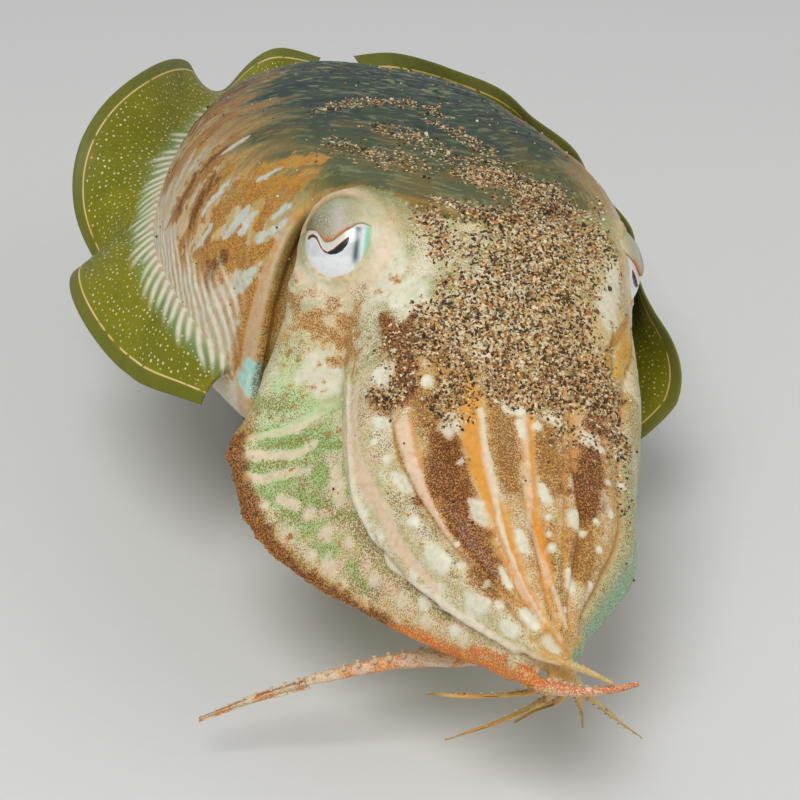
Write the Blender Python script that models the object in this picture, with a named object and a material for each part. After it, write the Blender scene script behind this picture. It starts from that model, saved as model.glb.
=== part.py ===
"""Common cuttlefish hovering with its arms closed, a life-size display model on a stand.

Sizes are in millimetres in a body frame whose origin is midway between the eyes,
+Y to the tail, +X to the animal's left, +Z up. place() tips the animal onto its left
side a little, lifts it over the stand and turns millimetres into metres.
"""
import bpy
import bmesh
import numpy as np
from math import radians, pi

# Placing
BANK = radians(10.7)
HEAD_AT = (6.0, -72.0, 57.0)
GAP = 0.3

# Mantle: values at fractions of the length from the front rim to the tail
TAIL_Y = 158.0
MANTLE_WIDTH = [(0, 35), (.12, 45.5), (.3, 51.5), (.5, 48.5), (.7, 39.5), (.85, 27.5), (.95, 14), (1, 4)]
MANTLE_TOP = [(0, 43), (.12, 38), (.3, 34.5), (.5, 29), (.7, 21.5), (.85, 13.5), (.95, 7.5), (1, 3)]
MANTLE_UNDER = [(0, 17), (.15, 21), (.35, 23), (.6, 20), (.8, 14), (.93, 7), (1, 2.5)]
MANTLE_SIDE_Z = [(0, -18), (.15, -14), (.5, -12), (1, -9.5)]
MANTLE_SHIFT = [(0, -8), (.4, -4.5), (1, 1)]
MANTLE_RINGS = (0, .03, .08, .15, .23, .32, .42, .52, .62, .71, .79, .86, .92, .965, 1)
RIM_WALL = 3.4
RIM_DEPTH = 8.0
# How far back the free rim lies, by angle round the body (90 is the back)
RIM_Y = [(-90, 14), (-45, 11), (-15, 8), (0, 7), (20, 11), (38, 16), (58, 17), (70, 9), (80, 0), (91, 0),
         (104, 7), (120, 16), (141, 18), (152, 15), (163, 11), (180, 7), (200, 7), (225, 10), (270, 14)]

# Head and crown of arms: distance forward, then middle x, middle z, half width, height, depth
BODY = [(-26, (-7, -3, 21, 17, 14)), (-18, (-6, -2.5, 25, 21.5, 19)), (-10, (-4.5, -2, 28, 24.5, 22)),
        (-2, (-2.5, -2, 28.5, 25.5, 23)), (6, (-1.5, -3, 28.2, 24, 23)), (14, (-1.7, -5, 28, 21, 21.5)),
        (22, (-2.5, -7.5, 27.3, 18.3, 19.5)), (31, (-4, -11, 26, 15.2, 17.5)),
        (40, (-4.5, -14.5, 24.2, 13.5, 15.5)), (52, (-3.2, -18, 19.8, 12, 12.5)),
        (62, (-2.2, -20.5, 13.4, 10, 9.5)), (68, (-1.3, -21.3, 9, 8, 7)), (74, (0, -21.5, 4.5, 4.5, 4.5))]
BODY_SQUARE = 2.3
HEAD_BACK_Y = 25.0
# The arms start on one sloping plane: its distance, height and slope
FACE_Y, FACE_Z, FACE_SLOPE = -17.0, -8.5, -.27
HEAD_RINGS = 13

# Skirt of each lowest arm: distance forward, then x and z of its free edge
SKIRT_RIGHT = [(-12, (-41, -11)), (-6, (-42, -13)), (0, (-44.5, -16)), (5, (-47.2, -19.5)),
               (10, (-48.8, -22.8)), (18, (-46.5, -28.5)), (25, (-41.4, -32)), (32, (-36, -33.6)),
               (40, (-29.8, -33.5)), (47, (-24, -33)), (55, (-18.6, -32)), (60, (-13.6, -31.2)),
               (66, (-8.6, -29.8)), (74, (-4, -28))]
SKIRT_LEFT = [(-12, (22, -15)), (-4, (25, -17)), (5, (28, -21)), (12, (29.5, -25)), (20, (28, -28.5)),
              (30, (23, -31)), (40, (17, -32.5)), (50, (9, -33))]
SKIRT_ANGLE = 112.0
SKIRT_SPAN = 15.0
SKIRT_THICK = 1.9
SKIRT_STEPS = (1, .45, .11, .006)

# Arms: angles from the back down each side, shared by left and right
ARM_ANGLES = {1: (0, 24), 2: (24, 54), 3: (54, 97), 4: (97, 180)}
ARM_RELIEF = {1: 1.0, 2: 1.5, 3: 1.6, 4: 0.6}
ARM_JOINT_Y = -44.0
WEDGE_END_Y = -70.0
LEFT_FOUR_END_Y = -46.5
INNER_PART = 0.46
# Paths of the thin ends, from the end of each arm's wedge to its tip, with start and tip radius
ENDS = {
    "arm_right_1": ([(-.8, -72.8, -17.4), (1.8, -74.8, -21), (3.2, -73.4, -26), (2.2, -70.2, -31.5),
                     (-4, -66, -40), (-12.8, -62, -47.3)], 1.2, .3),
    "arm_right_2": ([(-2.6, -72.2, -18.8), (-.4, -73.6, -21.8), (1.2, -72.2, -26), (-.5, -69.4, -30.5),
                     (-8, -65.5, -35), (-18, -62, -37.5)], 1.2, .3),
    "arm_right_3": ([(-4.8, -73, -21.2), (-2.8, -76, -22.2), (0, -79, -22.6), (3.2, -81.4, -22.4)],
                    1.5, .35),
    "arm_right_4": ([(-4.2, -73.4, -26.6), (-.6, -76, -26.2), (3, -78.6, -25.2), (7, -80.6, -23.4),
                     (11, -81.7, -21.2)], 1.9, .4),
    "arm_left_1": ([(2.2, -72.8, -17.6), (4.4, -75.2, -21.3), (5.4, -74.2, -26), (4.8, -70.6, -32),
                    (1, -66.8, -37), (-2.2, -65, -40.7)], 1.2, .3),
    "arm_left_2": ([(4.8, -72.6, -19), (7.2, -75, -22.4), (8, -74, -26.8), (8.3, -70.6, -32),
                    (9.4, -66.8, -37), (10.3, -65, -41.5)], 1.2, .3),
    "arm_left_3": ([(5.6, -71.5, -22.4), (7.2, -71.2, -25.8), (8.6, -69.6, -30), (12.6, -67.8, -35),
                    (17, -66.6, -39.5), (21.4, -66, -42.7)], 1.2, .3),
    "arm_left_4": ([(6.9, -50, -27.5), (4.2, -52, -32.2), (-1.8, -52.4, -35.4), (-10, -51.4, -37.2),
                    (-18, -50, -39.2), (-30, -48.5, -44), (-42, -46, -51), (-52, -44, -58)], 2.8, .4),
}
# Share of each thin end over which the wedge's section turns round
END_BLEND = {4: .16}
END_BLEND_USUAL = .34

# Fins: angle above level and width at fractions of the length, and how far the edge leans back
FIN_RIGHT = dict(root=180.0, raise_=[(0, 0), (.07, -15), (.14, -34), (.21, -39), (.29, -32), (.36, -38),
                                     (.43, -57), (.5, -26), (.57, 11), (.64, 38), (.71, 42), (.79, 24),
                                     (.86, -20), (.93, 26), (1, 0)],
                 width=[(0, 10), (.2, 17), (.4, 20), (.6, 21), (.8, 16), (1, 9)],
                 lean=[(0, -5), (.1, -9), (.2, -9), (.4, 0), (.6, 1), (.8, 10), (1, 9)])
FIN_LEFT = dict(root=-17.0, raise_=[(0, 20), (.07, 18), (.14, 30), (.21, 74), (.29, 88), (.38, 80),
                                    (.47, 88), (.56, 82), (.65, 88), (.75, 80), (.85, 86), (.94, 60),
                                    (1, 10)],
                width=[(0, 11), (.2, 18), (.4, 19.5), (.6, 20.5), (.8, 17), (1, 8)],
                lean=[(0, -9), (.2, -10), (.4, 0), (.6, 8), (.8, 12), (1, 9)])
FIN_ENDS = (.03, .5, .988)
FIN_COLUMNS = 14
FIN_ROWS = 5
FIN_THICK = (2.4, 0.7)

# Eyes, lids and funnel
EYE_AT = {1: (20.6, 7.6, 7.6), -1: (-25.2, 7.0, 12.0)}
EYE_LOOK = {1: (.86, -.40, .31), -1: (-.68, -.55, .48)}
EYE_COVER = 2.2
EYE_BLEND = 4.0
EYE_RADIUS = 9.5
LID_THICK = 1.5
LID_AT = 8.2
OPENING = (6.9, 7.4)
FUNNEL = [(-23, (-5, -27, 9, 4)), (-12, (-4, -27.5, 10, 5)), (-2, (-2.5, -28.5, 8, 5)),
          (9, (-1.5, -30.5, 5, 4.4))]
FUNNEL_BORE = 6.0

# Suckers: how many in each of two rows, and their radius
SUCKERS_BASE, SUCKERS_WEDGE, SUCKERS_END = 5, 3, 5
SUCKER_RADIUS = (1.35, .95, .75, .32)

# Stand
BASE_SIZE = (66.0, 116.0, 7.0)
ROD_RADIUS = 3.0
ROD_Y = {"front": -28.0, "rear": 34.0}
ROD_SINK = 5.0


def curve(knots, at):
    """Smooth curve through (position, value) pairs."""
    keys = np.array([k[0] for k in knots], float)
    vals = np.array([np.atleast_1d(np.array(k[1], float)) for k in knots])
    slope = np.zeros_like(vals)
    slope[1:-1] = (vals[2:] - vals[:-2]) / (keys[2:] - keys[:-2])[:, None]
    slope[0] = (vals[1] - vals[0]) / (keys[1] - keys[0])
    slope[-1] = (vals[-1] - vals[-2]) / (keys[-1] - keys[-2])
    at = np.atleast_1d(np.asarray(at, float))
    i = np.clip(np.searchsorted(keys, at) - 1, 0, len(keys) - 2)
    h = keys[i + 1] - keys[i]
    t = np.clip((at - keys[i]) / h, 0, 1)[:, None]
    h = h[:, None]
    out = ((2 * t**3 - 3 * t**2 + 1) * vals[i] + (t**3 - 2 * t**2 + t) * h * slope[i]
           + (3 * t**2 - 2 * t**3) * vals[i + 1] + (t**3 - t**2) * h * slope[i + 1])
    return out[:, 0] if vals.shape[1] == 1 else out


def ease(a, b, t):
    t = np.clip((np.asarray(t, float) - a) / (b - a), 0, 1)
    return t * t * (3 - 2 * t)


def power(v, p):
    return np.sign(v) * np.abs(v) ** p


def place(points):
    """Body frame in millimetres to the model's frame in metres."""
    p = np.asarray(points, float).reshape(-1, 3)
    c, s = np.cos(BANK), np.sin(BANK)
    out = np.stack([c * p[:, 0] + s * p[:, 2], p[:, 1], -s * p[:, 0] + c * p[:, 2]], 1)
    return (out + np.array(HEAD_AT)) * 0.001


# Making meshes
def material(name, colour, rough, metal=0.0):
    m = bpy.data.materials.get(name)
    if m is None:
        m = bpy.data.materials.new(name)
        m.use_nodes = True
        p = m.node_tree.nodes["Principled BSDF"]
        p.inputs["Base Color"].default_value = (*colour, 1)
        p.inputs["Roughness"].default_value = rough
        p.inputs["Metallic"].default_value = metal
        m.diffuse_color = (*colour, 1)
    return m


def new_object(name, verts, faces, mat, home, placed=False):
    """Closed mesh with its faces turned outwards."""
    mesh = bpy.data.meshes.new(name)
    mesh.from_pydata([tuple(v) for v in (verts if placed else place(verts))], [], [tuple(f) for f in faces])
    bm = bmesh.new()
    bm.from_mesh(mesh)
    bmesh.ops.remove_doubles(bm, verts=bm.verts, dist=1e-7)
    bmesh.ops.recalc_face_normals(bm, faces=bm.faces)
    if bm.calc_volume(signed=True) < 0:
        bmesh.ops.reverse_faces(bm, faces=bm.faces)
    bm.to_mesh(mesh)
    bm.free()
    mesh.polygons.foreach_set("use_smooth", [True] * len(mesh.polygons))
    ob = bpy.data.objects.new(name, mesh)
    mesh.materials.append(mat)
    home.objects.link(ob)
    return ob


def loft(rings, start=None, end=None):
    """Skin a list of equal rings; each end closes on its given point or its middle."""
    rings = [np.asarray(r, float) for r in rings]
    n = len(rings[0])
    verts = np.concatenate(rings)
    faces = []
    for i in range(len(rings) - 1):
        for j in range(n):
            a, b = i * n + j, i * n + (j + 1) % n
            faces.append((a, b, b + n, a + n))
    first = rings[0].mean(0) if start is None else np.array(start, float)
    last = rings[-1].mean(0) if end is None else np.array(end, float)
    base = len(verts)
    verts = np.vstack([verts, first, last])
    for j in range(n):
        k = (j + 1) % n
        faces.append((base, k, j))
        faces.append((base + 1, (len(rings) - 1) * n + j, (len(rings) - 1) * n + k))
    return verts, faces


def apply_boolean(ob, cutter, how):
    """Join or cut, keeping the result only; the exact way first."""
    for solver in ("EXACT", "MANIFOLD"):
        mod = ob.modifiers.new("cut", "BOOLEAN")
        mod.operation = how
        mod.solver = solver
        if isinstance(cutter, bpy.types.Collection):
            mod.operand_type = "COLLECTION"
            mod.collection = cutter
        else:
            mod.object = cutter
        bpy.context.view_layer.update()
        shape = bpy.data.meshes.new_from_object(ob.evaluated_get(bpy.context.evaluated_depsgraph_get()))
        ob.modifiers.remove(mod)
        if closed(shape):
            break
    ob.data = shape
    keep_largest(ob)


def closed(mesh):
    bm = bmesh.new()
    bm.from_mesh(mesh)
    bmesh.ops.remove_doubles(bm, verts=bm.verts, dist=1e-7)
    good = len(bm.faces) > 0 and all(len(e.link_faces) == 2 for e in bm.edges)
    bm.to_mesh(mesh)
    bm.free()
    return good


def keep_largest(ob):
    """Drop loose scraps and faces of no area after a cut."""
    for dist in (2e-6, 0):
        bm = bmesh.new()
        bm.from_mesh(ob.data)
        if dist:
            bmesh.ops.dissolve_degenerate(bm, edges=bm.edges, dist=dist)
        if all(len(e.link_faces) == 2 for e in bm.edges):
            break
    seen, best = set(), []
    for f in bm.faces:
        if f in seen:
            continue
        group, todo = [], [f]
        seen.add(f)
        while todo:
            g = todo.pop()
            group.append(g)
            for e in g.edges:
                for h in e.link_faces:
                    if h not in seen:
                        seen.add(h)
                        todo.append(h)
        if len(group) > len(best):
            best = group
    keep = set(best)
    bmesh.ops.delete(bm, geom=[f for f in bm.faces if f not in keep], context="FACES")
    bmesh.ops.triangulate(bm, faces=[f for f in bm.faces if len(f.verts) > 4])
    bm.to_mesh(ob.data)
    bm.free()
    ob.data.polygons.foreach_set("use_smooth", [True] * len(ob.data.polygons))


# Mantle
def mantle_point(t, angle, grow=0.0):
    """Point on the mantle: t 0 at the rim and 1 at the tail, angle in radians, 90 degrees is the back."""
    t, angle = np.broadcast_arrays(np.asarray(t, float), np.asarray(angle, float))
    shape = t.shape
    t, angle = t.ravel(), angle.ravel()
    p = 2.0 + .7 * (1 - ease(0, .5, t))
    c, s = np.cos(angle), np.sin(angle)
    high = np.where(s > 0, curve(MANTLE_TOP, t), curve(MANTLE_UNDER, t)) + grow
    x = (curve(MANTLE_WIDTH, t) + grow) * power(c, 2 / p) + curve(MANTLE_SHIFT, t)
    z = high * power(s, 2 / p) + curve(MANTLE_SIDE_Z, t)
    deg = (np.degrees(angle) + 90) % 360 - 90
    rim = curve(RIM_Y, deg)
    return np.stack([x, rim + (TAIL_Y - rim) * t, z], 1).reshape(shape + (3,))


def mantle(home, mat):
    angles = np.linspace(0, 2 * pi, 30, endpoint=False)
    rings = [mantle_point(t, angles) for t in reversed(MANTLE_RINGS)]
    rim = rings[-1]
    lip = mantle_point(0, angles, -RIM_WALL * .5) + np.array([0, -.9, 0])
    inner = mantle_point(0, angles, -RIM_WALL)
    deep = mantle_point(0, angles, -RIM_WALL - .6) + np.array([0, RIM_DEPTH, 0])
    rings[-1:] = [rim, lip, inner, deep]
    verts, faces = loft(rings, start=np.array([1.0, TAIL_Y + 1.2, -9.5]))
    return new_object("mantle", verts, faces, mat, home)


# Head and the closed crown of arms share one outer surface
def body_ring(y, theta, inner=1.0, grow=0.0, skirts=True, relief=True, swell=False):
    """Outer surface at distance y; theta in degrees, 0 at the back, positive down the animal's left."""
    y, theta = (np.atleast_1d(np.asarray(v, float)) for v in (y, theta))
    y, theta = np.broadcast_arrays(y, theta)
    row = curve(BODY, -y)
    cx, cz, w, up, down = row.T
    rad = np.radians(theta)
    sx, cc = np.sin(rad), np.cos(rad)
    x = w * power(sx, 2 / BODY_SQUARE)
    z = np.where(cc > 0, up, down) * power(cc, 2 / BODY_SQUARE)
    far = np.hypot(x, z)
    bump = grow * np.ones_like(far)
    if relief:
        strength = ease(-10, -30, y) * (.35 + .65 * ease(-74, -60, y))
        for k, (a, b) in ARM_ANGLES.items():
            q = (np.abs(theta) - (a + b) / 2) / ((b - a) / 2)
            inside = np.abs(q) <= 1
            bump = bump + np.where(inside, ARM_RELIEF[k] * (.6 - q**4) * strength, 0)
            if k == 3:
                bump = bump + np.where(inside, 1.3 * np.exp(-((q - .8) / .25) ** 2) * strength, 0)
    scale = inner + bump * (inner > .9) / far
    x, z = cx + x * scale, cz + z * scale
    if swell:
        for side in (1, -1):
            away = np.stack([x, y, z], 1) - eye_centre(side)
            dist = np.linalg.norm(away, axis=1)
            skin_at = EYE_RADIUS + EYE_COVER + grow
            new = (dist + skin_at + np.sqrt((dist - skin_at)**2 + EYE_BLEND**2)) / 2
            new = dist + (new - dist) * ease(-13, -4, y)
            x, y, z = (eye_centre(side)[:, None] + away.T * (new / dist))
    if skirts and inner > .9:
        for side, knots in ((-1, SKIRT_RIGHT), (1, SKIRT_LEFT)):
            turn = theta * side - SKIRT_ANGLE
            wide = ease(-16, 4, y)
            q = np.abs(turn) / (SKIRT_SPAN + 42 * wide)
            pull = np.clip(1 - q ** (.46 + 1.3 * wide), 0, 1)
            foot = body_ring(y, side * SKIRT_ANGLE, skirts=False, relief=False)
            edge = curve(knots, -y)
            on = ease(15, 3, y) * (1 if side < 0 else ease(-52, -40, y))
            dx, dz = edge[:, 0] - foot[:, 0], edge[:, 1] - foot[:, 2]
            long = np.hypot(dx, dz) + 1e-6
            thin = (1 - np.exp(-q / .003)) * np.clip(1 - q, 0, 1) * (1 - wide)
            half = SKIRT_THICK / 2 * np.sign(turn) * thin
            x = x + (pull * dx - half * side * -dz / long) * on
            z = z + (pull * dz - half * side * dx / long) * on
    return np.stack([x, y, z], 1)


def front_face(theta, inner=1.0):
    """Distance at which the outer surface, or a smaller copy, meets the plane where the arms start."""
    y = np.full(np.shape(theta), FACE_Y)
    for _ in range(8):
        y = FACE_Y + FACE_SLOPE * (body_ring(y, theta, inner=inner)[:, 2] - FACE_Z)
    return y


def skirt_angles(side):
    return [side * (SKIRT_ANGLE + SKIRT_SPAN * q)
            for q in [-q for q in SKIRT_STEPS] + [0] + list(reversed(SKIRT_STEPS))]


def head_rings(grow=0.0, last=1.0):
    plain = [0, 8, 16, 24, 34, 44, 54, 65, 76, 87, 137, 148, 160, 170]
    angles = sorted(set(plain + [-a for a in plain[1:]] + [180] + skirt_angles(1) + skirt_angles(-1)))
    angles = np.array(angles, float)
    rings, front = [], front_face(angles)
    for q in np.linspace(0, 1, HEAD_RINGS):
        if q <= last:
            y = (HEAD_BACK_Y + grow) * (1 - q) + front * q
            rings.append(body_ring(y, angles, swell=True, grow=grow))
    return rings


def head(home, mat):
    rings = head_rings()
    back = rings[0].mean(0) + np.array([0, 1.0, 0])
    verts, faces = loft(rings, start=back)
    return new_object("head", verts, faces, mat, home)


def ball(name, centre, radius, home, mat, around=20, rows=12):
    bm = bmesh.new()
    bmesh.ops.create_uvsphere(bm, u_segments=around, v_segments=rows, radius=radius)
    verts = np.array([v.co for v in bm.verts]) + np.array(centre, float)
    faces = [[v.index for v in f.verts] for f in bm.faces]
    bm.free()
    return new_object(name, verts, faces, mat, home)


def eye_frame(side):
    look = np.array(EYE_LOOK[side], float)
    look /= np.linalg.norm(look)
    across = np.cross((0, 0, 1), look)
    across /= np.linalg.norm(across)
    return look, across, np.cross(look, across)


def eye_centre(side):
    return np.array(EYE_AT[side], float)


def opening_cone(name, side, home, mat):
    """Widening oval plug that opens the lids."""
    look, across, up = eye_frame(side)
    bm = bmesh.new()
    bmesh.ops.create_cone(bm, cap_ends=True, segments=20, radius1=.62, radius2=1.45, depth=17)
    raw = np.array([v.co for v in bm.verts])
    faces = [[v.index for v in f.verts] for f in bm.faces]
    bm.free()
    verts = (eye_centre(side) + np.outer(raw[:, 0] * OPENING[0], across)
             + np.outer(raw[:, 1] * OPENING[1], up) + np.outer(raw[:, 2] + 11.5, look))
    return new_object(name, verts, faces, mat, home)


def lid(name, side, home, mat):
    """Raised fold round the eye, an oval ring that is thickest above."""
    look, across, up = eye_frame(side)
    bpy.ops.mesh.primitive_torus_add(major_segments=20, minor_segments=6, major_radius=1, minor_radius=.1)
    ring = bpy.context.active_object
    raw = np.array([v.co for v in ring.data.vertices])
    faces = [list(p.vertices) for p in ring.data.polygons]
    bpy.data.objects.remove(ring)
    turn = np.arctan2(raw[:, 1], raw[:, 0])
    thick = LID_THICK * (1.15 + .35 * np.sin(turn)) / .1
    off = (np.hypot(raw[:, 0], raw[:, 1]) - 1) * thick
    verts = (eye_centre(side) + np.outer(np.cos(turn) * (OPENING[0] + .6 + off), across)
             + np.outer(np.sin(turn) * (OPENING[1] + .6 + off), up)
             + np.outer(LID_AT + raw[:, 2] * thick, look))
    return new_object(name, verts, faces, mat, home)


def funnel(name, home, mat, grow=0.0, bore=True):
    a = np.linspace(0, 2 * pi, 16, endpoint=False)
    rings = []
    for y in np.linspace(-23, 9, 7):
        x, z, w, h = curve(FUNNEL, y)[0]
        wide, high = (w + grow) * np.cos(a), (h + grow) * np.sin(a)
        rings.append(np.stack([x + wide, np.full_like(a, -y), z + high], 1))
    if grow:
        rings[0][:, 1] += grow
        rings[-1][:, 1] -= grow
    if bore:
        x, z, w, h = curve(FUNNEL, 9)[0]
        for y, k in ((-9.4, .8), (-8.0, .68), (-9 + FUNNEL_BORE, .55)):
            rings.append(np.stack([x + w * k * np.cos(a), np.full_like(a, y), z + h * k * np.sin(a)], 1))
    return new_object(name, *loft(rings), mat, home)


# Arms
def arm_ring(side, k, y, shrink=1.0, base=False):
    """Closed outline of one arm at distance y, or along the head's front face."""
    a, b = ARM_ANGLES[k]
    if k == 4:
        outer = [a] + [s for s in skirt_angles(1) if s > a + .5] + [137, 148, 160, 170, 180]
        inner = [180, 155, 130, 110, a]
    else:
        outer = list(np.linspace(a, b, 6))
        inner = list(np.linspace(b, a, 4))
    outer, inner = np.array(outer, float), np.array(inner, float)
    r_in = INNER_PART * (.8 + .2 * ease(-70, -50, y))
    w = curve(BODY, -y)[0][2]

    def trimmed(ang, rho):
        t = np.degrees(GAP / 2 / max(w * rho * .8, 2.0))
        return np.clip(ang, a + t, b - t)

    rings = []
    for ang, rho in ((outer, 1.0), (inner, r_in)):
        ang = trimmed(ang, rho)
        ys = front_face(ang * side, rho) - GAP if base else np.full_like(ang, y)
        rings.append(body_ring(ys, ang * side, inner=rho))
    ring = np.concatenate(rings)
    middle = ring.mean(0)
    return middle + (ring - middle) * shrink


def spline(points, n):
    """Smooth path through points, n places along it."""
    knots = [(0.0, points[0])]
    for p, q in zip(points[:-1], points[1:]):
        knots.append((knots[-1][0] + float(np.linalg.norm(np.subtract(q, p))), q))
    return curve(knots, np.linspace(0, knots[-1][0], n))


def end_rings(first, path, r0, r1, n, blend):
    """Carry a ring along a path, turning it into a round, thinning tip."""
    centre = first.mean(0)
    rel = first - centre
    around = np.arctan2(rel[:, 2], rel[:, 0])
    line = spline([centre] + list(path), n)
    u, v, ahead = np.array([1.0, 0, 0]), np.array([0, 0, 1.0]), np.array([0, -1.0, 0])
    rings, frames = [], []
    for i in range(n):
        now = line[min(i + 1, n - 1)] - line[max(i - 1, 0)]
        now /= np.linalg.norm(now)
        if i:
            axis = np.cross(ahead, now)
            s, c = np.linalg.norm(axis), float(ahead @ now)
            if s > 1e-9:
                axis /= s
                u = u * c + np.cross(axis, u) * s + axis * (axis @ u) * (1 - c)
                v = v * c + np.cross(axis, v) * s + axis * (axis @ v) * (1 - c)
            ahead = now
        q = i / (n - 1)
        r = r0 + (r1 - r0) * q
        size = np.linalg.norm(rel, axis=1)
        mix = ease(0, blend, q)
        reach = size * (1 - mix) * (1 - .55 * mix) + r * mix
        if i:
            rings.append(line[i] + np.outer(np.cos(around) * reach, u)
                         + np.outer(np.sin(around) * reach, v))
        frames.append((line[i], u, v, ahead, r))
    return rings, frames


def sucker(at, out, along, radius):
    """Short cupped peg with its root sunk into the arm."""
    side = np.cross(out, along)
    side /= np.linalg.norm(side)
    along = np.cross(side, out)
    a = np.linspace(0, 2 * pi, 5, endpoint=False)
    rings = [at + out * d * radius + radius * k * (np.outer(np.cos(a), along) + np.outer(np.sin(a), side))
             for d, k in ((-1.1, .55), (.75, 1.0))]
    return loft(rings, end=at + out * radius * .25)


def inner_place(side, k, y, offset):
    """Point on an arm's inner face and the direction into the crown."""
    a, b = ARM_ANGLES[k]
    mid = (a + b) / 2 + offset * (b - a) * (.24 if k < 4 else .13)
    r_in = INNER_PART * (.8 + .2 * ease(-70, -50, y))
    at = body_ring(y, mid * side, inner=float(r_in))[0]
    cx, cz = curve(BODY, -y)[0][:2]
    out = np.array([cx - at[0], 0, cz - at[2]])
    return at, out / np.linalg.norm(out)


def add_suckers(ob, pieces, home, mat):
    """Fuse every sucker of one arm length in a single join."""
    group = bpy.data.collections.new(ob.name + "_suckers")
    bpy.context.scene.collection.children.link(group)
    made = [new_object(f"{ob.name}_s{i}", v, f, mat, group) for i, (v, f) in enumerate(pieces)]
    apply_boolean(ob, group, "UNION")
    for o in made:
        bpy.data.objects.remove(o)
    bpy.data.collections.remove(group)


def arm(side, k, home, mat):
    word = "left" if side > 0 else "right"
    name = f"arm_{word}_{k}"
    leaves = side > 0 and k == 4
    base_rings = [arm_ring(side, k, -20, base=True)]
    for y in np.linspace(-25, ARM_JOINT_Y, 6):
        base_rings.append(arm_ring(side, k, y, shrink=1 - .25 * ease(-30, -44, y) if leaves else 1))
    base = new_object(name + "_base", *loft(base_rings), mat, home)

    stop = LEFT_FOUR_END_Y if leaves else WEDGE_END_Y
    wedge = []
    for y in np.linspace(ARM_JOINT_Y - GAP, stop, 3 if leaves else 7):
        wedge.append(arm_ring(side, k, y, shrink=.75 - .25 * ease(-44, stop, y) if leaves else 1))
    path, r0, r1 = ENDS[name]
    blend = END_BLEND[k] if leaves else END_BLEND_USUAL
    tail, frames = end_rings(wedge[-1], path, r0, r1, 16 if leaves else 11, blend)
    tip = new_object(name + "_tip", *loft(wedge + tail), mat, home)

    size = SUCKER_RADIUS
    small = .85 if k == 1 else 1.0
    pieces = []
    for i in range(SUCKERS_BASE):
        y = -24.5 + (ARM_JOINT_Y + 2.5 + 24.5) * i / (SUCKERS_BASE - 1)
        for off in (-1, 1):
            at, out = inner_place(side, k, y, off)
            r = (size[0] + (size[1] - size[0]) * i / (SUCKERS_BASE - 1)) * small
            pieces.append(sucker(at, out, np.array([0, -1.0, 0]), r))
    add_suckers(base, pieces, home, mat)

    pieces = []
    if not leaves:
        for i in range(SUCKERS_WEDGE):
            y = -48 - 12.5 * i / (SUCKERS_WEDGE - 1)
            for off in (-1, 1):
                at, out = inner_place(side, k, y, off)
                pieces.append(sucker(at, out, np.array([0, -1.0, 0]), size[1] * (1 - .12 * i) * small))
    _, inward = inner_place(side, k, stop, 0)
    start = np.arctan2(inward[2], inward[0])
    rows = SUCKERS_END + (SUCKERS_WEDGE if leaves else 0)
    for i in range(rows):
        j = 4 + (len(frames) - 5) * i / (rows - 1)
        a, b = frames[int(j)], frames[min(int(j) + 1, len(frames) - 1)]
        f = j - int(j)
        at = a[0] * (1 - f) + b[0] * f
        r = a[4] * (1 - f) + b[4] * f
        for off in (-.6, .6):
            ang = start + off
            out = a[1] * np.cos(ang) + a[2] * np.sin(ang)
            along = a[3]
            small_r = min(size[2] * (1 - .5 * i / rows), r * .62)
            pieces.append(sucker(at + out * r * .96, out, along, small_r))
    add_suckers(tip, pieces, home, mat)
    return base, tip


# Fins
def fin_grid(fin, side, t):
    """Middle surface of a fin across its width at each t, with its normals."""
    angle = radians(fin["root"])
    foot = mantle_point(t, angle)
    line = np.gradient(foot, axis=0)
    line /= np.linalg.norm(line, axis=1)[:, None]
    up = np.array([0, 0, 1.0])
    out = np.cross(line, up)
    out *= np.where(out[:, :1] * side < 0, -1, 1)
    out /= np.linalg.norm(out, axis=1)[:, None]
    lift = np.cross(out, line)
    lift *= np.where(lift[:, 2:3] < 0, -1, 1)
    rise = np.radians(curve(fin["raise_"], t))
    wide, lean = curve(fin["width"], t), curve(fin["lean"], t)
    rows = np.linspace(0, 1, FIN_ROWS + 1)
    grid = [foot + out * GAP]
    for a, b in zip(rows[:-1], rows[1:]):
        m = (a + b) / 2
        turn = rise * (.45 + .75 * ease(0, .6, m))
        step = (out * np.cos(turn)[:, None] + lift * np.sin(turn)[:, None]) * (wide * (b - a))[:, None]
        grid.append(grid[-1] + step + line * (lean * (b - a) * (.4 + 1.2 * m))[:, None])
    return np.array(grid), line, lift


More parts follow.
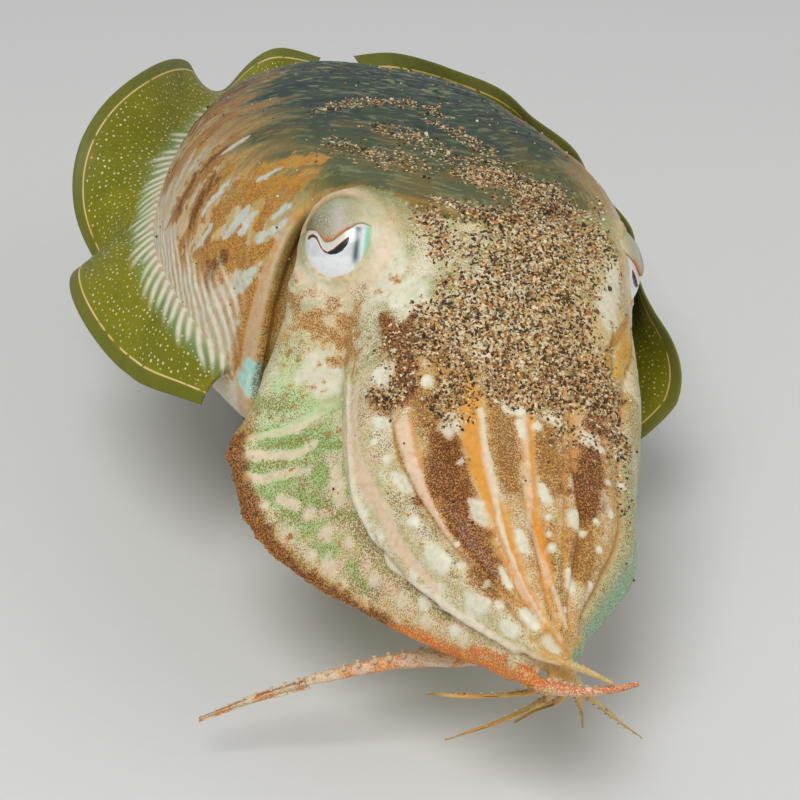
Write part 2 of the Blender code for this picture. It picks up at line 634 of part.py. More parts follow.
def fin(name, spec, side, t0, t1, home, mat):
    every = np.linspace(t0, t1, FIN_COLUMNS)
    grid, line, lift = fin_grid(spec, side, every)
    across = np.gradient(grid, axis=0)
    along = np.gradient(grid, axis=1)
    normal = np.cross(across, along)
    normal /= np.linalg.norm(normal, axis=2)[:, :, None]
    normal *= np.sign((normal * lift[None]).sum(2).mean())
    rows = np.linspace(0, 1, FIN_ROWS + 1)
    thick = (FIN_THICK[1] + (FIN_THICK[0] - FIN_THICK[1]) * (1 - rows) ** 2)[:, None, None] / 2
    top, under = grid + normal * thick, grid - normal * thick
    angle, reach = radians(spec["root"]), FIN_THICK[0] / 2
    size = curve(MANTLE_TOP, every)
    step = reach / size
    for sheet, sign in ((top, 1), (under, -1)):
        turn = step * sign * (1 if side > 0 else -1)
        touch = mantle_point(every, angle + turn)
        sheet[0] = touch + (grid[0] - mantle_point(every, angle))
    r, c = grid.shape[:2]
    verts = np.concatenate([top.reshape(-1, 3), under.reshape(-1, 3)])
    low = r * c
    faces = []
    for i in range(r - 1):
        for j in range(c - 1):
            a, b, d, e = i * c + j, i * c + j + 1, (i + 1) * c + j + 1, (i + 1) * c + j
            faces += [(a, b, d), (a, d, e), (a + low, d + low, b + low), (a + low, e + low, d + low)]
    rim = ([(0, j) for j in range(c)] + [(i, c - 1) for i in range(1, r)]
           + [(r - 1, j) for j in range(c - 2, -1, -1)] + [(i, 0) for i in range(r - 2, 0, -1)])
    for (i, j), (k, m) in zip(rim, rim[1:] + rim[:1]):
        a, b = i * c + j, k * c + m
        faces += [(a, a + low, b + low), (a, b + low, b)]
    return new_object(name, verts, faces, mat, home)


# Stand
def cylinder(name, x, y, low, high, radius, home, mat):
    bm = bmesh.new()
    bmesh.ops.create_cone(bm, cap_ends=True, segments=20, radius1=radius, radius2=radius, depth=high - low)
    verts = np.array([v.co for v in bm.verts]) + (x, y, (low + high) / 2)
    faces = [[v.index for v in f.verts] for f in bm.faces]
    bm.free()
    return new_object(name, verts * .001, faces, mat, home, placed=True)


def stand_base(home, mat):
    bpy.ops.mesh.primitive_cube_add(size=1, location=(0, 0, BASE_SIZE[2] * .0005))
    ob = bpy.context.active_object
    ob.name = ob.data.name = "stand_base"
    for v in ob.data.vertices:
        v.co = (v.co.x * BASE_SIZE[0] * .001, v.co.y * BASE_SIZE[1] * .001, v.co.z * BASE_SIZE[2] * .001)
    bm = bmesh.new()
    bm.from_mesh(ob.data)
    bmesh.ops.bevel(bm, geom=[e for e in bm.edges if abs(e.verts[0].co.z - e.verts[1].co.z) > .001],
                    offset=.016, segments=5, affect="EDGES", profile=.5)
    top = max(v.co.z for v in bm.verts)
    rim = [e for e in bm.edges if all(v.co.z > top - 1e-6 for v in e.verts)]
    bmesh.ops.bevel(bm, geom=rim, offset=.0015, segments=1, affect="EDGES", profile=.5)
    bm.to_mesh(ob.data)
    bm.free()
    ob.data.transform(ob.matrix_world)
    ob.matrix_world.identity()
    for c in list(ob.users_collection):
        c.objects.unlink(ob)
    home.objects.link(ob)
    ob.data.materials.append(mat)
    return ob


def rod_x(y):
    """Centre line of the belly over the stand, in the model's frame."""
    t = (y - HEAD_AT[1] - 8) / (TAIL_Y - 8)
    return float(place(mantle_point(t, -pi / 2))[0, 0]) * 1000


def belly_height(y):
    t = (y - HEAD_AT[1] - 8) / (TAIL_Y - 8)
    return float(place(mantle_point(t, -pi / 2))[0, 2]) * 1000


def main():
    for ob in list(bpy.data.objects):
        bpy.data.objects.remove(ob)
    home = bpy.data.collections.new("common_cuttlefish")
    bpy.context.scene.collection.children.link(home)
    cutters = bpy.data.collections.new("cutters")
    bpy.context.scene.collection.children.link(cutters)

    skin = material("flesh", (.62, .48, .33), .45)
    sheer = material("fin_flesh", (.42, .42, .16), .4)
    glass = material("eye_surface", (.75, .76, .72), .12)
    dark = material("stand_finish", (.05, .05, .055), .4)
    steel = material("rod_metal", (.55, .55, .56), .3, 1.0)

    body = mantle(home, skin)
    face = head(home, skin)
    for side, word in ((1, "left"), (-1, "right")):
        fold = lid("fold_" + word, side, cutters, skin)
        apply_boolean(face, fold, "UNION")
        hole = opening_cone("opening_" + word, side, cutters, skin)
        apply_boolean(face, hole, "DIFFERENCE")
        socket = ball("socket_" + word, eye_centre(side), EYE_RADIUS + GAP, cutters, skin)
        apply_boolean(face, socket, "DIFFERENCE")
        ball("eye_" + word, eye_centre(side), EYE_RADIUS, home, glass, 18, 10)

    # The funnel lies in a groove of the head, and both sit in the mantle's mouth
    tube = funnel("funnel", home, skin)
    groove = funnel("groove", cutters, skin, grow=GAP, bore=False)
    apply_boolean(face, groove, "DIFFERENCE")
    apply_boolean(body, groove, "DIFFERENCE")

    rings = head_rings(grow=GAP, last=.8)
    back = rings[0].mean(0) + np.array([0, 1.0, 0])
    neck = new_object("neck_room", *loft(rings, start=back), skin, cutters)
    apply_boolean(body, neck, "DIFFERENCE")

    for side in (1, -1):
        for k in (1, 2, 3, 4):
            arm(side, k, home, skin)

    for word, spec, side in (("left", FIN_LEFT, 1), ("right", FIN_RIGHT, -1)):
        a, b, c = FIN_ENDS
        fin(f"fin_{word}_front", spec, side, a, b - .001, home, sheer)
        fin(f"fin_{word}_rear", spec, side, b + .001, c, home, sheer)

    plate = stand_base(home, dark)
    for word, y in ROD_Y.items():
        x, top = rod_x(y), belly_height(y) + ROD_SINK
        foot = BASE_SIZE[2] - 3
        cylinder("stand_rod_" + word, x, y, foot, top, ROD_RADIUS, home, steel)
        hole = cylinder("rod_hole_" + word, x, y, foot - GAP, top + GAP, ROD_RADIUS + GAP, cutters, steel)
        apply_boolean(body, hole, "DIFFERENCE")
        apply_boolean(plate, hole, "DIFFERENCE")
    plate.data.polygons.foreach_set("use_smooth", [False] * len(plate.data.polygons))

    for ob in cutters.objects:
        ob.hide_render = True
        ob.display_type = "WIRE"
    print("pieces", len(home.objects))


main()
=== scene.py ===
from math import cos, radians, sin, pi

import bmesh
import bpy
import numpy as np
from mathutils import Matrix, Vector, kdtree


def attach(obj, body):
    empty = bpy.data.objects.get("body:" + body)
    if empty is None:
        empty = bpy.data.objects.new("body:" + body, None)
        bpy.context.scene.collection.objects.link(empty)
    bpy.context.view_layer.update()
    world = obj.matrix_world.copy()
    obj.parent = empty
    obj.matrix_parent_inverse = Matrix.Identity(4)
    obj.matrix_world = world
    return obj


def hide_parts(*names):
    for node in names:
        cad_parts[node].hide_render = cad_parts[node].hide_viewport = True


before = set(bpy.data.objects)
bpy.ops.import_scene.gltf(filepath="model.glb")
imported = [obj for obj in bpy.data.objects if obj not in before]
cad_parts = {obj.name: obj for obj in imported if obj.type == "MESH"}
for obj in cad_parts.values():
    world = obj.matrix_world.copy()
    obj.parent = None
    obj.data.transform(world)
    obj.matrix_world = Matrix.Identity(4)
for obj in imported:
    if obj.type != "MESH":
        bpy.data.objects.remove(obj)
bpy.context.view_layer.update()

print("frame loaded:", len(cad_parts), "nodes")

# Lengths below are millimetres in the animal's own frame: origin between the eyes,
# +Y to the tail, +X to its left, +Z up. toRow() banks it and lifts it over the stand.
pose = {"bank": radians(10.7), "headAt": (6.0, -72.0, 57.0)}

mantleShape = {
    "tailY": 158.0,
    "width": [(0, 35), (.12, 45.5), (.3, 51.5), (.5, 48.5), (.7, 39.5), (.85, 27.5), (.95, 14), (1, 4)],
    "top": [(0, 43), (.12, 38), (.3, 34.5), (.5, 29), (.7, 21.5), (.85, 13.5), (.95, 7.5), (1, 3)],
    "under": [(0, 17), (.15, 21), (.35, 23), (.6, 20), (.8, 14), (.93, 7), (1, 2.5)],
    "sideZ": [(0, -18), (.15, -14), (.5, -12), (1, -9.5)],
    "shift": [(0, -8), (.4, -4.5), (1, 1)],
    "rimY": [(-90, 14), (-45, 11), (-15, 8), (0, 7), (20, 11), (38, 16), (58, 17), (70, 9), (80, 0), (91, 0),
             (104, 7), (120, 16), (141, 18), (152, 15), (163, 11), (180, 7), (200, 7), (225, 10), (270, 14)],
    "rimWall": 3.2, "rimDepth": 8.0, "around": 260,
}

crownShape = {
    # distance forward: middle x, middle z, half width, height, depth
    "rings": [(-26, (-7, -3, 21, 17, 14)), (-18, (-6, -2.5, 25, 21.5, 19)), (-10, (-4.5, -2, 28, 24.5, 22)),
              (-2, (-2.5, -2, 28.5, 25.5, 23)), (6, (-1.5, -3, 28.2, 24, 23)), (14, (-1.7, -5, 28, 21, 21.5)),
              (22, (-2.5, -7.5, 27.3, 18.3, 19.5)), (31, (-4, -11, 26, 15.2, 17.5)),
              (40, (-4.5, -14.5, 24.2, 13.5, 15.5)), (52, (-3.2, -18, 19.8, 12, 12.5)),
              (62, (-2.9, -20.5, 12.3, 9.7, 9.2)), (68, (-2.6, -21.4, 7.2, 7.2, 6.6)),
              (74, (-.8, -22, 3.4, 3.8, 3.8))],
    "square": 2.3, "headBackY": 25.0, "face": (-17.0, -8.5, -.27),
}

skirtShape = {
    # distance forward: x and z of the free edge
    "right": [(-12, (-36.5, -13)), (-6, (-38, -15.5)), (0, (-41, -17.5)), (5, (-44.3, -19.2)),
              (10, (-47.8, -20.6)), (14, (-49.3, -22)), (18, (-49.5, -24)), (22, (-48.4, -26.4)),
              (25, (-46.6, -28.2)), (32, (-41.6, -31)), (40, (-35, -32)), (47, (-29.3, -31.4)),
              (55, (-22.2, -30.6)), (60, (-17, -30.2)), (66, (-10.4, -29.2)), (74, (-4, -27.6))],
    "left": [(-12, (22, -15)), (-4, (25, -17)), (5, (28, -21)), (12, (29.5, -25)), (20, (28, -28.5)),
             (30, (23, -31)), (40, (17, -32.5)), (50, (9, -33))],
    "angle": 112.0, "span": 15.0, "thick": 1.8,
}

armShape = {
    "angles": {1: (0, 24), 2: (24, 54), 3: (54, 97), 4: (97, 180)},
    "relief": {1: 1.0, 2: 1.5, 3: 1.6, 4: 0.6},
    "inner": 0.46, "root": -20.0, "base": -25.0, "step": .9,
    # end of the wedge, blend into the thin end, its rings, and the radius below which it is a mesh of its own
    "usual": {"stop": -70.0, "blend": .13, "rings": 90, "thinFrom": .7},
    "leftFour": {"stop": -46.5, "blend": .16, "rings": 150, "thinFrom": .9},
    # thin ends: path, radius at the start and at the tip
    "ends": {
        (-1, 1): ([(-1.6, -72.4, -20.4), (-.6, -73.4, -23), (.2, -72.4, -27), (0, -70, -31.8),
                   (-5, -66, -39.6), (-12.8, -62, -47.3)], 1.2, .3),
        (-1, 2): ([(-2.4, -72.4, -20.8), (-1.4, -73.2, -23.2), (-.8, -72, -26.6), (-2, -69.4, -30.6),
                   (-8.6, -65.5, -35), (-18, -62, -37.5)], 1.2, .3),
        (-1, 3): ([(-4.8, -73, -20.4), (-2, -76, -19.6), (1.6, -78.6, -19.4), (6, -80.8, -20.2)], 1.4, .3),
        (-1, 4): ([(-4.2, -73.4, -26.2), (-.6, -76, -25.2), (3, -78.6, -23.6), (7, -80.6, -21.4),
                   (10, -81.5, -19.6)], 1.7, .4),
        (1, 1): ([(-1, -72.4, -20.4), (.2, -73.6, -23.2), (1.6, -72.6, -27.2), (2.6, -69.8, -32),
                  (0, -66.6, -37), (-2.2, -65, -40.7)], 1.2, .3),
        (1, 2): ([(-.2, -72.2, -20.6), (1.4, -73.2, -23.6), (3.4, -72.2, -27.6), (6.2, -69.8, -32.4),
                  (8.6, -66.8, -37), (10.3, -65, -41.5)], 1.2, .3),
        (1, 3): ([(.4, -71.6, -21.8), (2.6, -71.6, -25.2), (6, -70.2, -29.6), (11.4, -68, -34.8),
                  (16.6, -66.6, -39.3), (21.4, -66, -42.7)], 1.2, .3),
        (1, 4): ([(6.9, -50, -27.5), (4.2, -52, -32.2), (-1.8, -52.4, -35.4), (-10, -51.4, -37.2),
                  (-18, -50, -39.2), (-30, -48.5, -44), (-42, -46, -51), (-52, -44, -58)], 2.8, .4),
    },
}

finShape = {
    -1: {"root": 180.0,
         "raised": [(0, 0), (.07, -15), (.14, -34), (.21, -39), (.29, -32), (.36, -38), (.43, -57), (.5, -26),
                    (.57, 11), (.64, 38), (.71, 42), (.79, 24), (.86, -20), (.93, 26), (1, 0)],
         "width": [(0, 10), (.2, 17), (.4, 20), (.6, 21), (.8, 16), (1, 9)],
         "lean": [(0, -5), (.1, -9), (.2, -9), (.4, 0), (.6, 1), (.8, 10), (1, 9)]},
    1: {"root": -17.0,
        "raised": [(0, 20), (.07, 18), (.14, 30), (.21, 74), (.29, 88), (.38, 80), (.47, 88), (.56, 82),
                   (.65, 88), (.75, 80), (.85, 86), (.94, 60), (1, 10)],
        "width": [(0, 11), (.2, 18), (.4, 19.5), (.6, 20.5), (.8, 17), (1, 8)],
        "lean": [(0, -9), (.2, -10), (.4, 0), (.6, 8), (.8, 12), (1, 9)]},
    "ends": (.03, .988), "thick": (2.3, 0.5), "sunk": 2.2, "columns": 420, "rows": 48,
}

eyeShape = {
    "at": {1: (20.1, 9.2, 10.6), -1: (-26.3, 6.8, 12.0)},
    "look": {1: (.82, -.47, .33), -1: (-.68, -.55, .48)},
    "radius": 10.0, "cover": 1.7, "blend": 4.0, "opening": {1: (7.6, 8.2), -1: (9.2, 9.0)},
    "shift": {1: 1.9, -1: -1.1}, "pupilDepth": .25, "front": 1.05, "rings": (130, 26), "around": 360,
}

funnelShape = {"rings": [(-23, (-5, -27, 9, 4)), (-12, (-4, -27.5, 10, 5)), (-2, (-2.5, -28.5, 8, 5)),
                         (9, (-1.5, -30.5, 5, 4.4))], "bore": 6.0}

viewpoint = {"distance": 395.0, "azimuth": -13.8, "elevation": 28.35, "aim": (-11.05, 30.15),
             "focal": 2095.0, "middle": 400.0}


sideNames = {1: "Left", -1: "Right"}


# Small helpers
def smoothCurve(knots, at):
    keys = np.array([k[0] for k in knots], float)
    vals = np.array([np.atleast_1d(np.array(k[1], float)) for k in knots])
    slope = np.zeros_like(vals)
    slope[1:-1] = (vals[2:] - vals[:-2]) / (keys[2:] - keys[:-2])[:, None]
    slope[0] = (vals[1] - vals[0]) / (keys[1] - keys[0])
    slope[-1] = (vals[-1] - vals[-2]) / (keys[-1] - keys[-2])
    at = np.atleast_1d(np.asarray(at, float))
    i = np.clip(np.searchsorted(keys, at) - 1, 0, len(keys) - 2)
    h = keys[i + 1] - keys[i]
    t = np.clip((at - keys[i]) / h, 0, 1)[:, None]
    h = h[:, None]
    out = ((2 * t**3 - 3 * t**2 + 1) * vals[i] + (t**3 - 2 * t**2 + t) * h * slope[i]
           + (3 * t**2 - 2 * t**3) * vals[i + 1] + (t**3 - t**2) * h * slope[i + 1])
    return out[:, 0] if vals.shape[1] == 1 else out


def fade(a, b, t):
    t = np.clip((np.asarray(t, float) - a) / (b - a), 0, 1)
    return t * t * (3 - 2 * t)


def bell(centre, width, t):
    return np.exp(-((t - centre) / width) ** 2)


def signedPower(v, p):
    return np.sign(v) * np.abs(v) ** p


def unit(v, axis=None):
    return v / np.linalg.norm(v, axis=axis, keepdims=axis is not None)


def circle(n):
    return np.linspace(0, 2 * pi, n, endpoint=False)


def unbank(v):
    c, s = cos(pose["bank"]), sin(pose["bank"])
    return np.stack([c * v[:, 0] - s * v[:, 2], v[:, 1], s * v[:, 0] + c * v[:, 2]], 1)


def toRow(points):
    p = np.asarray(points, float).reshape(-1, 3)
    c, s = cos(pose["bank"]), sin(pose["bank"])
    out = np.stack([c * p[:, 0] + s * p[:, 2], p[:, 1], -s * p[:, 0] + c * p[:, 2]], 1)
    return (out + np.array(pose["headAt"])) * .001


def fromRow(points):
    return unbank(np.asarray(points, float).reshape(-1, 3) * 1000 - np.array(pose["headAt"]))


noisePrimes = (73856093, 19349663, 83492791)


def lump(points, size, seed=0):
    # value noise, -1 to 1, with lumps of about size
    p = np.asarray(points, float) / size + seed * 17.31
    cell = np.floor(p).astype(np.int64)
    f = p - cell
    f = f * f * (3 - 2 * f)
    total = np.zeros(len(p))
    for corner in np.ndindex(2, 2, 2):
        n, w = 0, 1
        for axis, step in enumerate(corner):
            n = n ^ ((cell[:, axis] + step) * noisePrimes[axis])
            w = w * (f[:, axis] if step else 1 - f[:, axis])
        n = (n ^ (n >> 13)) * 1274126177 & 0x7fffffff
        total += w * (((n ^ (n >> 16)) & 0xffff) / 32767.5 - 1)
    return total


def cloud(points, size, seed=0, layers=3):
    return sum(lump(points, size / 2**i, seed + i) * .55**i for i in range(layers))


# The camera stands where the photograph's did
def towards(azimuth, elevation):
    a, e = radians(azimuth), radians(elevation)
    return np.array([sin(a) * cos(e), -cos(a) * cos(e), sin(e)])


def viewFrame():
    away = viewpoint["distance"] * towards(viewpoint["azimuth"], viewpoint["elevation"])
    back, turn = towards(*viewpoint["aim"]), radians(viewpoint["aim"][0])
    right = np.array([cos(turn), sin(turn), 0.0])
    return np.array(pose["headAt"]) + away, right, np.cross(back, right), back


def pixelOf(rowPoints):
    at, right, up, back = viewFrame()
    rel = np.asarray(rowPoints, float) * 1000 - at
    deep, focal, middle = -(rel @ back), viewpoint["focal"], viewpoint["middle"]
    return middle + focal * (rel @ right) / deep, middle - focal * (rel @ up) / deep, deep


def rayThrough(px, py):
    at, right, up, back = viewFrame()
    focal, middle = viewpoint["focal"], viewpoint["middle"]
    return at, unit(right * (px - middle) / focal - up * (py - middle) / focal - back)


def addCamera():
    at, right, up, back = viewFrame()
    data = bpy.data.cameras.new("camera")
    data.sensor_width = 36.0
    data.lens = viewpoint["focal"] * data.sensor_width / (2 * viewpoint["middle"])
    data.clip_start = .01
    ob = bpy.data.objects.new("camera", data)
    ob.matrix_world = Matrix([[right[i], up[i], back[i], at[i] * .001] for i in range(3)] + [[0, 0, 0, 1]])
    bpy.context.scene.collection.objects.link(ob)
    bpy.context.scene.camera = ob


addCamera()
print("camera placed")


# Mesh helpers
def meshOf(name, verts, faces):
    mesh = bpy.data.meshes.new(name)
    mesh.from_pydata(np.asarray(verts, float).tolist(), [], [tuple(int(i) for i in f) for f in faces])
    bm = bmesh.new()
    bm.from_mesh(mesh)
    bmesh.ops.recalc_face_normals(bm, faces=bm.faces)
    bm.to_mesh(mesh)
    bm.free()
    mesh.polygons.foreach_set("use_smooth", [True] * len(mesh.polygons))
    return mesh


def objectOf(name, mesh, finish=None):
    ob = bpy.data.objects.new(name, mesh)
    bpy.context.scene.collection.objects.link(ob)
    if finish:
        mesh.materials.append(finish)
    return ob


def bakeModifiers(ob):
    bpy.context.view_layer.update()
    made = bpy.data.meshes.new_from_object(ob.evaluated_get(bpy.context.evaluated_depsgraph_get()))
    ob.modifiers.clear()
    ob.data = made


def loft(rings, start=None, end=None):
    n = len(rings[0])
    verts = np.concatenate(rings)
    first = rings[0].mean(0) if start is None else np.array(start, float)
    last = rings[-1].mean(0) if end is None else np.array(end, float)
    i = np.arange(len(rings) - 1)[:, None] * n
    j = np.arange(n)[None, :]
    k = (j + 1) % n
    faces = np.stack([i + j, i + k, i + k + n, i + j + n], 2).reshape(-1, 4).tolist()
    base = len(verts)
    top = (len(rings) - 1) * n
    for m in range(n):
        q = (m + 1) % n
        faces.append((base, q, m))
        faces.append((base + 1, top + m, top + q))
    return np.vstack([verts, first, last]), faces


def readPoints(mesh, what):
    out = np.zeros(len(mesh.vertices) * 3, np.float32)
    mesh.vertices.foreach_get(what, out)
    return out.reshape(-1, 3).astype(float)


def setCorners(mesh, co):
    mesh.vertices.foreach_set("co", np.asarray(co, np.float32).ravel())
    mesh.update()


def writeColour(mesh, name, rgb):
    layer = mesh.attributes.new(name, "FLOAT_COLOR", "POINT")
    rgba = np.ones((len(mesh.vertices), 4), np.float32)
    rgba[:, :3] = np.clip(rgb, 0, 1)
    layer.data.foreach_set("color", rgba.ravel())


def writeValue(mesh, name, value):
    layer = mesh.attributes.new(name, "FLOAT", "POINT")
    layer.data.foreach_set("value", np.asarray(value, np.float32))


def writeVector(mesh, name, value):
    layer = mesh.attributes.new(name, "FLOAT_VECTOR", "POINT")
    layer.data.foreach_set("vector", np.asarray(value, np.float32).ravel())


# Shapes of the animal
def mantlePoint(t, angle, grow=0.0):
    m = mantleShape
    t, angle = np.broadcast_arrays(np.asarray(t, float), np.asarray(angle, float))
    shape = t.shape
    t, angle = t.ravel(), angle.ravel()
    p = 2.0 + .7 * (1 - fade(0, .5, t))
    c, s = np.cos(angle), np.sin(angle)
    high = np.where(s > 0, smoothCurve(m["top"], t), smoothCurve(m["under"], t)) + grow
    x = (smoothCurve(m["width"], t) + grow) * signedPower(c, 2 / p) + smoothCurve(m["shift"], t)
    z = high * signedPower(s, 2 / p) + smoothCurve(m["sideZ"], t)
    rim = smoothCurve(m["rimY"], (np.degrees(angle) + 90) % 360 - 90)
    return np.stack([x, rim + (m["tailY"] - rim) * t, z], 1).reshape(shape + (3,))


def mantleRings():
    m = mantleShape
    angles = circle(mantleShape["around"])
    ts = 1 - np.concatenate([np.linspace(0, .06, 16), np.linspace(.06, 1, 130)[1:]])
    rings = [mantlePoint(t, angles) for t in ts]
    lip = [mantlePoint(0, angles, -m["rimWall"] / 2 * (1 - cos(a))) + (0, -sin(a), 0)
           for a in np.linspace(0, pi, 7)[1:]]
    deep = [mantlePoint(0, angles, -m["rimWall"] - .6 * q) + (0, m["rimDepth"] * q, 0) for q in (.3, .6, 1)]
    return rings + lip + deep


def crownRing(y, theta, inner=1.0, skirts=True, relief=True, swell=False):
    shape = crownShape
    y, theta = np.broadcast_arrays(*(np.atleast_1d(np.asarray(v, float)) for v in (y, theta)))
    cx, cz, w, up, down = smoothCurve(shape["rings"], -y).T
    rad = np.radians(theta)
    sx, cc = np.sin(rad), np.cos(rad)
    x = w * signedPower(sx, 2 / shape["square"])
    z = np.where(cc > 0, up, down) * signedPower(cc, 2 / shape["square"])
    far = np.hypot(x, z)
    bump = np.zeros_like(far)
    if relief:
        strength = fade(-10, -30, y) * (.35 + .65 * fade(-74, -60, y))
        for k, (a, b) in armShape["angles"].items():
            q = (np.abs(theta) - (a + b) / 2) / ((b - a) / 2)
            inside = np.abs(q) <= 1
            bump = bump + np.where(inside, armShape["relief"][k] * (.6 - q**4) * strength, 0)
            if k == 3:
                bump = bump + np.where(inside, 1.3 * bell(.8, .25, q) * strength, 0)
    scale = inner + bump * (inner > .9) / far
    x, z = cx + x * scale, cz + z * scale
    if swell:
        for side in (1, -1):
            centre = np.array(eyeShape["at"][side])
            away = np.stack([x, y, z], 1) - centre
            dist = np.linalg.norm(away, axis=1)
            skinAt = eyeShape["radius"] + eyeShape["cover"]
            new = (dist + skinAt + np.sqrt((dist - skinAt)**2 + eyeShape["blend"]**2)) / 2
            new = dist + (new - dist) * fade(-13, -4, y)
            x, y, z = centre[:, None] + away.T * (new / dist)
    if skirts and inner > .9:
        s = skirtShape
        for side, knots in ((-1, s["right"]), (1, s["left"])):
            turn = theta * side - s["angle"]
            wide = fade(-16, 4, y)
            q = np.abs(turn) / (s["span"] + 42 * wide)
            pull = np.clip(1 - q ** (.46 + 1.3 * wide), 0, 1)
            foot = crownRing(y, side * s["angle"], skirts=False, relief=False)
            edge = smoothCurve(knots, -y)
            on = fade(15, 3, y) * (1 if side < 0 else fade(-52, -40, y))
            dx, dz = edge[:, 0] - foot[:, 0], edge[:, 1] - foot[:, 2]
            long = np.hypot(dx, dz) + 1e-6
            half = s["thick"] / 2 * np.sign(turn) * (1 - np.exp(-q / .003))
            half = half * np.clip(1 - q, 0, 1) * (1 - wide)
            x = x + (pull * dx + half * side * dz / long) * on
            z = z + (pull * dz - half * side * dx / long) * on
    return np.stack([x, y, z], 1)


def faceDistance(theta, inner=1.0):
    faceY, faceZ, slope = crownShape["face"]
    y = np.full(np.shape(theta), faceY)
    for _ in range(8):
        y = faceY + slope * (crownRing(y, theta, inner=inner)[:, 2] - faceZ)
    return y


def skirtSteps():
    # closer together towards the apron's free edge
    return np.unique(np.concatenate([[0, .0015, .004, .008, .014, .022], np.linspace(.03, 1, 34) ** 1.6]))


def headRings():
    q = skirtSteps()
    skirt = np.concatenate([-q, q]) * skirtShape["span"]
    plain = np.concatenate([np.linspace(0, 94, 84), np.linspace(130, 180, 40)])
    angles = np.unique(np.round(np.concatenate([plain, skirtShape["angle"] + skirt]), 4))
    angles = np.concatenate([-angles[::-1][:-1], angles])[1:]
    face, behind = faceDistance(angles) - 1.5, crownShape["headBackY"]
    return [crownRing(behind * (1 - q) + face * q, angles, swell=True) for q in np.linspace(0, 1, 74)]


def armRing(side, k, y, shrink=1.0, base=False):
    a, b = armShape["angles"][k]
    if k == 4:
        q = skirtSteps()
        low = skirtShape["angle"] - q[::-1] * skirtShape["span"]
        high = skirtShape["angle"] + q[1:] * skirtShape["span"]
        outer = np.concatenate([low[low >= a], high, np.linspace(high[-1], b, 40)[1:]])
        inner = np.linspace(180, a, 40)
    else:
        outer, inner = np.linspace(a, b, 44), np.linspace(b, a, 30)
    reach = armShape["inner"] * (.8 + .2 * fade(-70, -50, y))
    rings = []
    for angles, rho in ((outer, 1.0), (inner, reach)):
        ys = faceDistance(angles * side, rho) + 1.0 if base else np.full_like(angles, y)
        rings.append(crownRing(ys, angles * side, inner=rho))
    ring = np.concatenate(rings)
    middle = ring.mean(0)
    return middle + (ring - middle) * shrink


def pathThrough(points, n):
    knots = [(0.0, points[0])]
    for p, q in zip(points[:-1], points[1:]):
        knots.append((knots[-1][0] + float(np.linalg.norm(np.subtract(q, p))), q))
    return smoothCurve(knots, np.linspace(0, knots[-1][0], n))


def endRings(first, path, r0, r1, n, blend):
    centre = first.mean(0)
    rel = first - centre
    around = np.arctan2(rel[:, 2], rel[:, 0])
    size = np.linalg.norm(rel, axis=1)
    line = pathThrough([centre] + list(path), n)
    u, v, ahead = np.array([1.0, 0, 0]), np.array([0, 0, 1.0]), np.array([0, -1.0, 0])
    rings, frames = [], []
    for i in range(n):
        now = unit(line[min(i + 1, n - 1)] - line[max(i - 1, 0)])
        if i:
            axis = np.cross(ahead, now)
            s, c = np.linalg.norm(axis), float(ahead @ now)
            if s > 1e-9:
                axis /= s
                u = u * c + np.cross(axis, u) * s + axis * (axis @ u) * (1 - c)
                v = v * c + np.cross(axis, v) * s + axis * (axis @ v) * (1 - c)
            ahead = now
        q = i / (n - 1)
        r = r0 + (r1 - r0) * q
        mix = fade(0, blend, q)
        reach = size * (1 - mix) * (1 - .55 * mix) + r * mix
        if i:
            rings.append(line[i] + np.outer(np.cos(around) * reach, u) + np.outer(np.sin(around) * reach, v))
        frames.append((line[i], u, v, ahead, r))
    return rings, frames


def isLeftFour(side, k):
    return side > 0 and k == 4


def armRings(side, k):
    # the wedge with the stout part of its end, then the thin end by itself, and the path's frames
    long = isLeftFour(side, k)
    spec = armShape["leftFour" if long else "usual"]
    stop, count = spec["stop"], spec["rings"]
    rings = [armRing(side, k, armShape["root"], base=True)]
    for y in np.append(np.arange(armShape["base"], stop + .3, -armShape["step"]), stop):
        shrink = 1 - .25 * fade(-30, -44, y) - .25 * fade(-44, stop, y) if long else 1.0
        rings.append(armRing(side, k, y, shrink=shrink))
    path, r0, r1 = armShape["ends"][(side, k)]
    tail, frames = endRings(rings[-1], path, r0, r1, count, spec["blend"])
    part = int(count * (r0 - spec["thinFrom"]) / (r0 - r1))
    return rings + tail[:part], tail[part - 12:], frames


def funnelRings():
    a = circle(60)
    steps = [(y, -y, 1.0) for y in np.linspace(-23, 9, 34)]
    steps += [(9, y, k) for y, k in ((-9.5, .9), (-9.4, .78), (-8.0, .68), (-9 + funnelShape["bore"], .55))]
    rings = []
    for forward, y, k in steps:
        x, z, w, h = smoothCurve(funnelShape["rings"], forward)[0]
        rings.append(np.stack([x + w * k * np.cos(a), np.full_like(a, y), z + h * k * np.sin(a)], 1))
    return rings


def coreRings():
    # closes the middle of the crown where the arms meet
    angles = np.linspace(-180, 180, 120, endpoint=False)
    return [crownRing(y, angles, inner=.62, skirts=False) for y in np.linspace(-50, -72.5, 40)]


def collarRings():
    # skin of the neck just inside the mantle's rim, over the back and both sides
    angles = circle(mantleShape["around"])
    low = np.abs((np.degrees(angles) - 90 + 180) % 360 - 180)
    reach = (1 - .45 * fade(104, 122, low))[:, None]
    rings = []
    for behind in (1.6, 7.0):
        ring, centre = mantlePoint(0, angles, -1.6) + (0, behind, 0), np.array([-6.0, 14.0 + behind, -4.0])
        rings.append(centre + (ring - centre) * reach)
    return rings


